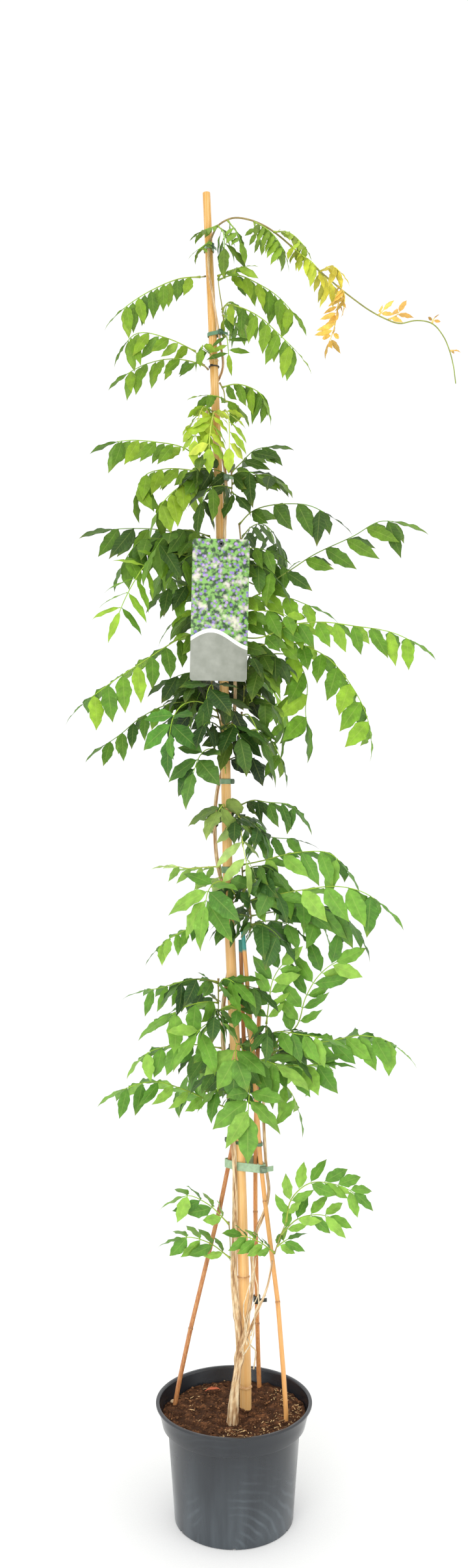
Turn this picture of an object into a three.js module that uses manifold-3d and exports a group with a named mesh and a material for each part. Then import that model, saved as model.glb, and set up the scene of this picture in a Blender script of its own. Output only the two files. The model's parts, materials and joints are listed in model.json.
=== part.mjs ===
// Potted japanese wisteria: a climber tied to a tall bamboo cane and three thin canes in a nursery pot.
// Millimetres, +Z up. The origin is the middle of the pot's flat bottom, and the plant's front faces -Y.
import * as THREE from "three";
import { mergeVertices } from "three/addons/utils/BufferGeometryUtils.js";
import Module from "manifold-3d";

const wasm = await Module();
wasm.setup();

// Driving dimensions
const viewerDistance = 2000;
const eyeHeight = 1125;
const gap = 0.35; // clearance between pieces that touch

const potHeight = 178;
const potRimRadius = 120;
const potLipHeight = 3.5;
const potCollarTopRadius = 116.5;
const potCollarBottomRadius = 109.5;
const potCollarBottom = 144;
const potWallTopRadius = 101.5;
const potFootRadius = 91;
const potWall = 2;
const potFloorTop = 5.5;
const footRingWidth = 9;
const footRecess = 3;
const centrePadRadius = 24;
const drainHoles = 6;
const drainHoleRadius = 6;
const drainHoleDistance = 60; // from the pot's axis
const footNotchWidth = 6;
const footNotchHeight = 2.2;
const potSides = 24;

const soilLevel = 162;
const soilEdgeDrop = 3;
const soilRelief = 3.5;
const soilClearance = 2.2; // to the pot's wall
const soilSides = 18;

const mainCaneRadius = 9.2;
const mainCaneTipRadius = 5.9;
const thinCaneRadius = 3.6;
const thinCaneTipRadius = 3.2;
const nodeRingHalfHeight = 3.5;
const caneDepthInSoil = 110;
const footGap = 1.5;
const ringAllowance = 0.9; // clears a node ring at the foot of a cane
const leanAllowance = 0.5; // a leaning cane is a little wider when cut level

const labelWidth = 86;
const labelHeight = 213;
const labelThickness = 0.9;
const labelHoleRadius = 2.4;
const labelHoleDrop = 8; // below the label's top edge
const labelBow = 4;
const labelCurl = 3;

const tieSlack = 0.3;
const bandSides = [8, 10, 16, 16]; // by how many pieces the band goes round
const bucklePlay = 0.4;
const pinRadius = 1.6;
const pinHeadRadius = 4.2;
const pinHeadThickness = 1.6;
const pinBandHeight = 4;
const pinBandThickness = 1.2;

const rachisHalfWidth = 1.2;
const rachisHalfHeight = 0.9;
const bladeHalfThickness = 0.6;
const leafletAngle = 62; // degrees between a leaflet and the rib it hangs from
const leafletTwist = 17;
const leafletCurl = 0.13; // how far a leaflet's tip bends down, as a share of its length
const leafletWave = 0.09; // how far its edge rises and falls, as a share of its width
const smallLeaflet = 31; // width under which a leaflet's outline has three corners, not five
const droopSpread = 20; // degrees by which leaflets differ
const twistSpread = 36;
const turnSpread = 14;
const steepestDroop = 78;
const ribShare = 0.94; // a frond's end leaflet lies past its rib by this share of its length
const leaflessFoot = 6; // the least bare length at a rib's foot
const lastPairBack = 5; // the last pair springs this far before the rib's end
const bareJointSpacing = 55;
const stalkJointSpacing = 26;
const outwardLean = 0.35; // how much a frond's upper face turns away from the plant's axis

const colours = {
  pot: 0x23262b,
  soil: 0x2f2219,
  bamboo: 0xd9a066,
  thinCane: 0xb06a3c,
  bark: 0x9a7650,
  tie: 0x7f9d7c,
  darkTie: 0x2c332f,
  label: 0x8fa58b,
  leaf: 0x5a9a35,
  youngLeaf: 0xa3ad3c,
  darkLeaf: 0x35651f,
  paleLeaf: 0x9ccb4e,
};

// A place on the plant is written [x, z, y]: x and z as seen from the front in the plane through the
// pot's axis, and y its depth behind that plane. The line of sight carries it to its depth.
function place([x, z, y]) {
  const spread = 1 + y / viewerDistance;
  return new THREE.Vector3(x * spread, y, eyeHeight + (z - eyeHeight) * spread);
}

const toRadians = (degrees) => (degrees * Math.PI) / 180;

// The same draw for the same number, between 0 and 1.
function draw(k) {
  const v = Math.sin(k * 12.9898 + 4.137) * 43758.5453;
  return v - Math.floor(v);
}

// A smooth path through the points, as a fine polyline with its running length. It runs on straight past
// its ends.
function smoothPath(points, steps = 8) {
  const gaps = points.slice(1).map((p, i) => p.distanceTo(points[i]));
  const slopes = points.map((p, i) => {
    const before = i > 0 ? p.clone().sub(points[i - 1]).divideScalar(gaps[i - 1]) : null;
    const after = i < gaps.length ? points[i + 1].clone().sub(p).divideScalar(gaps[i]) : null;
    if (!before) return after;
    if (!after) return before;
    const sum = gaps[i - 1] + gaps[i];
    return before.multiplyScalar(gaps[i] / sum).add(after.multiplyScalar(gaps[i - 1] / sum));
  });
  const line = [points[0].clone()];
  gaps.forEach((h, i) => {
    for (let k = 1; k <= steps; k++) {
      const u = k / steps;
      const p = points[i].clone().multiplyScalar(2 * u ** 3 - 3 * u ** 2 + 1);
      p.addScaledVector(slopes[i], h * (u ** 3 - 2 * u ** 2 + u));
      p.addScaledVector(points[i + 1], 3 * u ** 2 - 2 * u ** 3);
      p.addScaledVector(slopes[i + 1], h * (u ** 3 - u ** 2));
      line.push(p);
    }
  });
  const lengths = [0];
  line.slice(1).forEach((p, i) => lengths.push(lengths[i] + p.distanceTo(line[i])));
  const total = lengths[lengths.length - 1];
  const at = (s) => {
    let i = 1;
    while (i < line.length - 1 && lengths[i] < s) i++;
    return line[i - 1].clone().lerp(line[i], (s - lengths[i - 1]) / (lengths[i] - lengths[i - 1]));
  };
  const heading = (s) => at(s + 2).sub(at(s - 2)).normalize();
  return { total, at, heading };
}

// Vertices and triangles that close into one solid.
class Shell {
  constructor() {
    this.points = [];
    this.triangles = [];
  }
  point(v) {
    this.points.push(v.x, v.y, v.z);
    return this.points.length / 3 - 1;
  }
  triangle(a, b, c) {
    this.triangles.push(a, b, c);
  }
  quad(a, b, c, d) {
    this.triangle(a, b, c);
    this.triangle(a, c, d);
  }
  fan(centre, loop) {
    loop.forEach((p, i) => this.triangle(centre, p, loop[(i + 1) % loop.length]));
  }
  solid() {
    const vertProperties = new Float32Array(this.points);
    const triVerts = new Uint32Array(this.triangles);
    return new wasm.Manifold(new wasm.Mesh({ numProp: 3, vertProperties, triVerts }));
  }
}

// A three.js geometry as a solid.
function solidOf(geometry, matrix = new THREE.Matrix4()) {
  const bare = geometry.clone().applyMatrix4(matrix);
  bare.deleteAttribute("normal");
  bare.deleteAttribute("uv");
  const merged = mergeVertices(bare, 1e-3);
  const vertProperties = new Float32Array(merged.attributes.position.array);
  const triVerts = new Uint32Array(merged.index.array);
  return new wasm.Manifold(new wasm.Mesh({ numProp: 3, vertProperties, triVerts }));
}

function geometryOf(solid) {
  const mesh = solid.getMesh();
  const positions = new Float32Array(mesh.numVert * 3);
  for (let i = 0; i < mesh.numVert; i++) {
    for (let k = 0; k < 3; k++) positions[3 * i + k] = mesh.vertProperties[mesh.numProp * i + k];
  }
  const geometry = new THREE.BufferGeometry();
  geometry.setAttribute("position", new THREE.BufferAttribute(positions, 3));
  geometry.setIndex(new THREE.BufferAttribute(new Uint32Array(mesh.triVerts), 1));
  geometry.computeVertexNormals();
  return geometry;
}

// A tapering round bar along a path. Stations are [share of the length, radius].
function bar(path, stations, sides) {
  const shell = new Shell();
  const axisX = new THREE.Vector3(1, 0, 0);
  let previous = null;
  stations.forEach(([share, radius]) => {
    const centre = path.at(share * path.total);
    const heading = path.heading(share * path.total);
    const across = axisX.clone().addScaledVector(heading, -axisX.dot(heading)).normalize();
    axisX.copy(across);
    const other = heading.clone().cross(across);
    const ring = [];
    for (let k = 0; k < sides; k++) {
      const angle = (2 * Math.PI * k) / sides;
      const p = centre.clone();
      p.addScaledVector(across, radius * Math.cos(angle));
      p.addScaledVector(other, radius * Math.sin(angle));
      ring.push(shell.point(p));
    }
    if (!previous) {
      for (let k = 1; k < sides - 1; k++) shell.triangle(ring[0], ring[k + 1], ring[k]);
    } else {
      ring.forEach((p, k) => {
        const next = (k + 1) % sides;
        shell.quad(previous[k], previous[next], ring[next], p);
      });
    }
    previous = ring;
  });
  for (let k = 1; k < sides - 1; k++) shell.triangle(previous[0], previous[k], previous[k + 1]);
  return shell.solid();
}

// Evenly spaced stations whose radius runs through the given values.
function taper(radii, count) {
  const stations = [];
  for (let i = 0; i <= count; i++) {
    const share = i / count;
    const step = share * (radii.length - 1);
    const k = Math.min(Math.floor(step), radii.length - 2);
    stations.push([share, radii[k] + (radii[k + 1] - radii[k]) * (step - k)]);
  }
  return stations;
}

// Canes: guide points [x, z, y], foot first. A cane has a raised ring at each of its nodes.
const canes = {
  cane_main: {
    guide: [
      [18, 50, 6], [18, 162, 5], [14.3, 381, 5], [9.7, 536, 5], [-10, 981, 5],
      [-14.3, 1231, 5], [-24.2, 1614, 5], [-33.6, 1831, 5], [-42.4, 2034, 5],
    ],
    radii: [mainCaneRadius, mainCaneTipRadius],
    bends: [0.22, 0.66],
    rings: [0.075, 0.16, 0.3, 0.45, 0.59, 0.73, 0.87],
    ringRise: 1.1,
    sides: 8,
  },
  cane_left: {
    guide: [
      [-80, 100, 21], [-89, 146, 24], [-92, 162, 25], [-84, 207, 23], [-43.7, 384, 19], [-3, 561, 15],
      [3, 600, 18], [9, 640, 20.5], [15, 700, 21.5], [10, 885, 22],
    ],
    radii: [thinCaneRadius, thinCaneTipRadius],
    bends: [0.055, 0.08, 0.14, 0.62, 0.68],
    rings: [0.24, 0.48, 0.78],
    ringRise: 0.5,
    sides: 6,
  },
  cane_right: {
    guide: [
      [79, 100, -32.5], [80, 162, -33], [76, 221, -31], [67, 331, -26], [40.7, 545, -12], [30, 700, -6],
      [13, 906, -7],
    ],
    radii: [thinCaneRadius, thinCaneTipRadius],
    bends: [0.07, 0.15, 0.55, 0.66],
    rings: [0.28, 0.47, 0.8],
    ringRise: 0.5,
    sides: 6,
  },
  cane_back: {
    guide: [
      [36, 120, 75], [40, 162, 82], [38, 221, 76], [35, 331, 58], [33, 545, 27], [36, 700, 20],
      [41, 834, 18],
    ],
    radii: [thinCaneRadius, thinCaneTipRadius],
    bends: [0.06, 0.14, 0.57, 0.68, 0.82],
    rings: [0.25, 0.5, 0.74],
    ringRise: 0.5,
    sides: 6,
  },
};

// The straight stretches between a bar's stations, which is what its solid follows.
function stretches(path, stations) {
  return smoothPath(stations.map(([share]) => path.at(share * path.total)), 1);
}

for (const cane of Object.values(canes)) {
  const path = smoothPath(cane.guide.map(place));
  cane.radiusAt = (share) => cane.radii[0] + (cane.radii[1] - cane.radii[0]) * share;
  const ringHalf = nodeRingHalfHeight / path.total;
  const shares = [0, ...cane.bends, 1];
  cane.rings.forEach((share) => shares.push(share - ringHalf, share, share + ringHalf));
  cane.stations = shares
    .sort((a, b) => a - b)
    .map((share) => [share, cane.radiusAt(share) + (cane.rings.includes(share) ? cane.ringRise : 0)]);
  cane.solid = bar(path, cane.stations, cane.sides);
  cane.route = path;
  cane.path = stretches(path, cane.stations);
}

// Woody stems: a trunk that forks, one limb that twines up the main cane and two thin side limbs.
const limbs = [
  {
    guide: [
      [-3, 95, -38], [-1, 162, -37], [4, 215, -31], [9, 256, -22], [3, 321, -11], [0, 371, -7],
      [1, 431, -7], [1, 531, -9], [-6, 640, -9], [-17, 730, 0], [-15, 800, 14], [-2, 870, 20],
      [-10, 940, 20],
      [-24, 994, 12], [-29, 1041, 4], [-28, 1100, 12], [-12, 1170, 20], [1, 1240, 12], [1, 1300, 0],
      [-8, 1380, -9], [-14, 1450, -10], [-14, 1520, -9], [-12, 1560, -8], [-13, 1596, -9], [-16, 1626, -10],
      [-27, 1651, -9], [-39, 1675, -3], [-41, 1705, 9], [-30, 1735, 19], [-18, 1760, 8], [-21, 1803, -3],
      [-28, 1846, -7], [-35, 1891, -8], [-40, 1930, -7], [-39, 1955, -9],
    ],
    radii: [6.4, 5.6, 3.6, 3.3, 3.0, 2.8, 2.5, 2.3, 2.0, 1.8],
    count: 50,
    sides: 5,
  },
  {
    guide: [
      [7, 245, -25], [20, 300, -20], [29, 361, -14], [29, 421, -9], [45, 462, -2], [53, 490, -6],
      [49, 541, -4], [46, 600, 2], [42, 680, 4], [22, 742, 13], [21, 820, 20],
    ],
    radii: [3.4, 2.6, 2.2, 1.8],
    count: 18,
    sides: 4,
  },
  {
    guide: [[9, 252, -26], [24, 285, -34], [38, 318, -44], [51, 351, -48], [59, 392, -48]],
    radii: [2.4, 1.8, 1.5],
    count: 9,
    sides: 4,
  },
];

for (const limb of limbs) {
  const path = smoothPath(limb.guide.map(place));
  limb.route = path;
  limb.stations = taper(limb.radii, limb.count);
  limb.solid = bar(path, limb.stations, limb.sides);
  limb.path = stretches(path, limb.stations);
}
const woodyStem = limbs.slice(1).reduce((sum, limb) => sum.add(limb.solid), limbs[0].solid);

// The pot
function potSolid() {
  const outline = [
    [0, 0],
    [centrePadRadius, 0],
    [centrePadRadius + 2, footRecess],
    [potFootRadius - footRingWidth - 2, footRecess],
    [potFootRadius - footRingWidth, 0],
    [potFootRadius, 0],
    [potWallTopRadius, potCollarBottom - 1],
    [potCollarBottomRadius, potCollarBottom],
    [potCollarTopRadius, potHeight - potLipHeight],
    [potRimRadius, potHeight - potLipHeight],
    [potRimRadius, potHeight],
    [potCollarTopRadius - 1.4, potHeight],
    [potCollarTopRadius - potWall - 0.6, potHeight - 2],
    [potCollarBottomRadius - potWall, potCollarBottom + 2],
    [potWallTopRadius - potWall, potCollarBottom - 0.5],
    [potFootRadius - potWall, potFloorTop + 1.5],
    [potFootRadius - potWall - 2, potFloorTop],
    [0, potFloorTop],
  ];
  const profile = outline.map(([r, z]) => new THREE.Vector2(r, z));
  const upright = new THREE.Matrix4().makeRotationX(Math.PI / 2);
  let body = solidOf(new THREE.LatheGeometry(profile, potSides), upright);
  for (let i = 0; i < drainHoles; i++) {
    const angle = (2 * Math.PI * (i + 0.5)) / drainHoles;
    const turn = new THREE.Matrix4().makeRotationZ(angle);
    const hole = new THREE.CylinderGeometry(drainHoleRadius, drainHoleRadius, 4 * potFloorTop, 6);
    hole.rotateX(Math.PI / 2).translate(drainHoleDistance, 0, 0);
    body = body.subtract(solidOf(hole, turn));
    const notch = new THREE.BoxGeometry(3 * footRingWidth, footNotchWidth, 2 * footNotchHeight);
    body = body.subtract(solidOf(notch.translate(potFootRadius, 0, 0), turn));
  }
  return body;
}

// Soil: a disc that fills the pot, with an uneven top, cut by plain holes for the canes and the trunk.
function soilTop(x, y) {
  const share = Math.hypot(x, y) / (potCollarBottomRadius - 2);
  const swell = Math.sin(x * 0.061 + 1.3) * Math.cos(y * 0.053 - 0.6);
  const crumbs = Math.sin(x * 0.19 + y * 0.11) * Math.sin(y * 0.17 - x * 0.07 + 2);
  const slope = 0.018 * (x - y);
  return soilLevel + soilRelief * (0.6 * swell + 0.4 * crumbs) + slope - soilEdgeDrop * share ** 4;
}

function soilSolid() {
  const shell = new Shell();
  const rings = [0, 0.3, 0.58, 0.82, 1];
  const collarSlope = (potCollarTopRadius - potCollarBottomRadius) / (potHeight - potCollarBottom);
  const collarRadius = potCollarBottomRadius + collarSlope * (soilLevel - potCollarBottom);
  const topRadius = collarRadius - potWall - soilClearance - 0.8;
  const wallRadius = potWallTopRadius - potWall - soilClearance;
  const footRadius = potFootRadius - potWall - soilClearance - gap;
  const at = (radius, angle, z) => {
    const x = radius * Math.cos(angle);
    const y = radius * Math.sin(angle);
    return new THREE.Vector3(x, y, z === null ? soilTop(x, y) : z);
  };
  const centre = shell.point(at(0, 0, null));
  let previous = null;
  const sections = rings.slice(1).map((share) => [share * topRadius, null]);
  sections.push([wallRadius, potCollarBottom - 2], [footRadius, potFloorTop + gap]);
  sections.forEach(([radius, z]) => {
    const ring = [];
    for (let k = 0; k < soilSides; k++) {
      ring.push(shell.point(at(radius, (2 * Math.PI * k) / soilSides, z)));
    }
    ring.forEach((p, k) => {
      const next = (k + 1) % soilSides;
      if (!previous) shell.triangle(centre, p, ring[next]);
      else shell.quad(previous[k], p, ring[next], previous[next]);
    });
    previous = ring;
  });
  const bottom = shell.point(new THREE.Vector3(0, 0, potFloorTop + gap));
  previous.forEach((p, k) => shell.triangle(bottom, previous[(k + 1) % soilSides], p));
  let body = shell.solid();
  for (const piece of [...Object.values(canes), limbs[0]]) body = body.subtract(socket(piece));
  return body;
}

// The hole that a cane or the trunk stands in: the same bar, wider, from under its foot to above the soil.
function socket({ route, stations, sides }) {
  const length = route.total;
  const inSoil = stations.filter(([share]) => share * length > 0 && share * length < caneDepthInSoil);
  const wide = stations[0][1] + ringAllowance;
  const hole = [-footGap / length, ...inSoil.map(([share]) => share), (caneDepthInSoil + 30) / length];
  return bar(route, hole.map((share) => [share, wide]), sides);
}

// Where a path is at one height.
function crossing(path, height) {
  let low = 0;
  let high = path.total;
  for (let i = 0; i < 40; i++) {
    const middle = (low + high) / 2;
    if (path.at(middle).z < height) low = middle;
    else high = middle;
  }
  return { centre: path.at(low), share: low / path.total };
}

// The round sections that a tie goes round, at its lower and its upper edge.
function members(names, height, tall) {
  const edges = [height - tall / 2, height + tall / 2];
  return edges.flatMap((edge) => names.map((name) => sectionAt(name, edge)));
}

function sectionAt(name, height) {
  if (name === "stem") {
    const { centre, share } = crossing(limbs[0].path, height);
    const step = share * (limbs[0].radii.length - 1);
    const k = Math.min(Math.floor(step), limbs[0].radii.length - 2);
    const radius = limbs[0].radii[k] + (limbs[0].radii[k + 1] - limbs[0].radii[k]) * (step - k);
    return { centre, radius: radius + leanAllowance };
  }
  const { centre, share } = crossing(canes[name].path, height);
  return { centre, radius: canes[name].radiusAt(share) + leanAllowance };
}

// A taut band round some round sections: at each direction it touches the one that stands out furthest.
function band(sections, height, tall, thick, slack, steps) {
  const shell = new Shell();
  const outlines = [slack, slack + thick].map((extra) => {
    const loop = [];
    for (let k = 0; k < steps; k++) {
      const angle = (2 * Math.PI * (k + 0.5)) / steps;
      const out = new THREE.Vector3(Math.cos(angle), Math.sin(angle), 0);
      const reach = (s) => s.centre.x * out.x + s.centre.y * out.y + s.radius;
      const furthest = sections.reduce((best, s) => (reach(s) > reach(best) ? s : best));
      const distance = (furthest.radius + extra) / Math.cos(Math.PI / steps);
      loop.push(furthest.centre.clone().addScaledVector(out, distance));
    }
    return loop;
  });
  const ring = (loop, z) => loop.map((p) => shell.point(new THREE.Vector3(p.x, p.y, z)));
  const [low, high] = [height - tall / 2, height + tall / 2];
  const [inner, outer] = outlines;
  const loops = [ring(inner, low), ring(outer, low), ring(outer, high), ring(inner, high)];
  loops.forEach((loop, i) => {
    const after = loops[(i + 1) % 4];
    loop.forEach((p, k) => {
      const next = (k + 1) % steps;
      shell.quad(p, loop[next], after[next], after[k]);
    });
  });
  return shell.solid();
}

// Ties: height, band height and thickness, the pieces that it goes round, and its buckle [width, depth,
// height] with the direction that it faces, in degrees from +X.
const ties = {
  tie_top: { z: 1948, tall: 7, thick: 1.1, round: ["cane_main", "stem"], buckle: [7, 5, 9], facing: -35 },
  tie_upper: { z: 1817, tall: 6, thick: 1.1, round: ["cane_main", "stem"], buckle: [7, 5, 8], facing: -60 },
  tie_ring: { z: 1768, tall: 2.4, thick: 1.2, round: ["cane_main"], buckle: [4, 4, 3], facing: -110 },
  tie_shoulder: {
    z: 1593, tall: 8, thick: 1.2, round: ["cane_main", "stem"], buckle: [9, 6, 9], facing: -80,
  },
  tie_middle: { z: 1129, tall: 8, thick: 1.2, round: ["cane_main"], buckle: [6, 4, 8], facing: -20 },
  tie_waist: { z: 993, tall: 10, thick: 1.3, round: ["cane_main"], buckle: [9, 6, 11], facing: -60 },
  tie_clip_back: { z: 734, tall: 9, thick: 1.3, round: ["cane_back"], buckle: [9, 6, 9], facing: -120 },
  tie_lower: {
    z: 574, tall: 5, thick: 1.2, round: ["cane_main", "cane_left", "cane_right", "cane_back"],
    buckle: [10, 8, 7], facing: 190,
  },
  tie_big: {
    z: 538, tall: 13, thick: 1.3, round: ["cane_main", "cane_left", "cane_right", "cane_back"],
    buckle: [10, 7, 10], facing: -75,
  },
  tie_foot: { z: 311, tall: 10, thick: 1.4, round: ["cane_back"], buckle: [8, 6, 10], facing: -90 },
};

function tieSolid(tie) {
  const height = place([0, tie.z, 0]).z;
  const sections = members(tie.round, height, tie.tall);
  const sides = bandSides[tie.round.length - 1];
  let body = band(sections, height, tie.tall, tie.thick, tieSlack, sides);
  const angle = toRadians(tie.facing);
  const out = new THREE.Vector3(Math.cos(angle), Math.sin(angle), 0);
  const reach = (s) => s.centre.x * out.x + s.centre.y * out.y + s.radius;
  const outer = sections.reduce((best, s) => (reach(s) > reach(best) ? s : best));
  const [wide, deep, tall] = tie.buckle;
  const centre = outer.centre.clone().addScaledVector(out, outer.radius + tieSlack + bucklePlay + deep / 2);
  const matrix = new THREE.Matrix4().makeRotationZ(angle).setPosition(centre.x, centre.y, height);
  body = body.add(solidOf(new THREE.BoxGeometry(deep, wide, tall), matrix));
  return body;
}

// Label: a slightly bowed card with a hole, and the fastener that holds it to the cane.
const labelCentre = [-22, 1393, -48];
const labelLean = toRadians(-1.3);

function labelSolid() {
  const card = new THREE.BoxGeometry(labelWidth, labelThickness, labelHeight, 4, 1, 3);
  const at = card.attributes.position;
  for (let i = 0; i < at.count; i++) {
    const across = at.getX(i) / (labelWidth / 2);
    const down = 0.5 - at.getZ(i) / labelHeight;
    at.setY(i, at.getY(i) + labelBow * across * across * (0.4 + down) + labelCurl * down * down);
  }
  const centre = place(labelCentre);
  const matrix = new THREE.Matrix4().makeRotationY(-labelLean).setPosition(centre);
  const body = solidOf(card, matrix);
  const hole = labelHole();
  const drill = new THREE.CylinderGeometry(labelHoleRadius, labelHoleRadius, 20, 10);
  return body.subtract(solidOf(drill, new THREE.Matrix4().setPosition(hole)));
}

function labelHole() {
  const centre = place(labelCentre);
  const rise = labelHeight / 2 - labelHoleDrop;
  return new THREE.Vector3(centre.x + rise * Math.sin(-labelLean), centre.y, centre.z + rise);
}

function labelTieSolid() {
  const hole = labelHole();
  const sections = members(["cane_main", "stem"], hole.z, pinBandHeight);
  let body = band(sections, hole.z, pinBandHeight, pinBandThickness, tieSlack, bandSides[1]);
  const front = Math.min(...sections.map((s) => s.centre.y - s.radius)) - 0.8;
  const back = front - hole.y;
  const left = Math.min(...sections.map((s) => s.centre.x)) - hole.x;
  const pin = new THREE.CylinderGeometry(pinRadius, pinRadius, back + 3, 6).translate(0, (back - 3) / 2, 0);
  const head = new THREE.CylinderGeometry(pinHeadRadius, pinHeadRadius, pinHeadThickness, 10);
  const arm = new THREE.BoxGeometry(Math.abs(left) + 12, 2, pinBandHeight);
  head.translate(0, -2.2, 0);
  arm.translate(left / 2, back - 1, 0);
  const place = new THREE.Matrix4().setPosition(hole);
  for (const piece of [pin, head, arm]) body = body.add(solidOf(piece, place));
  return body;
}

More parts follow.
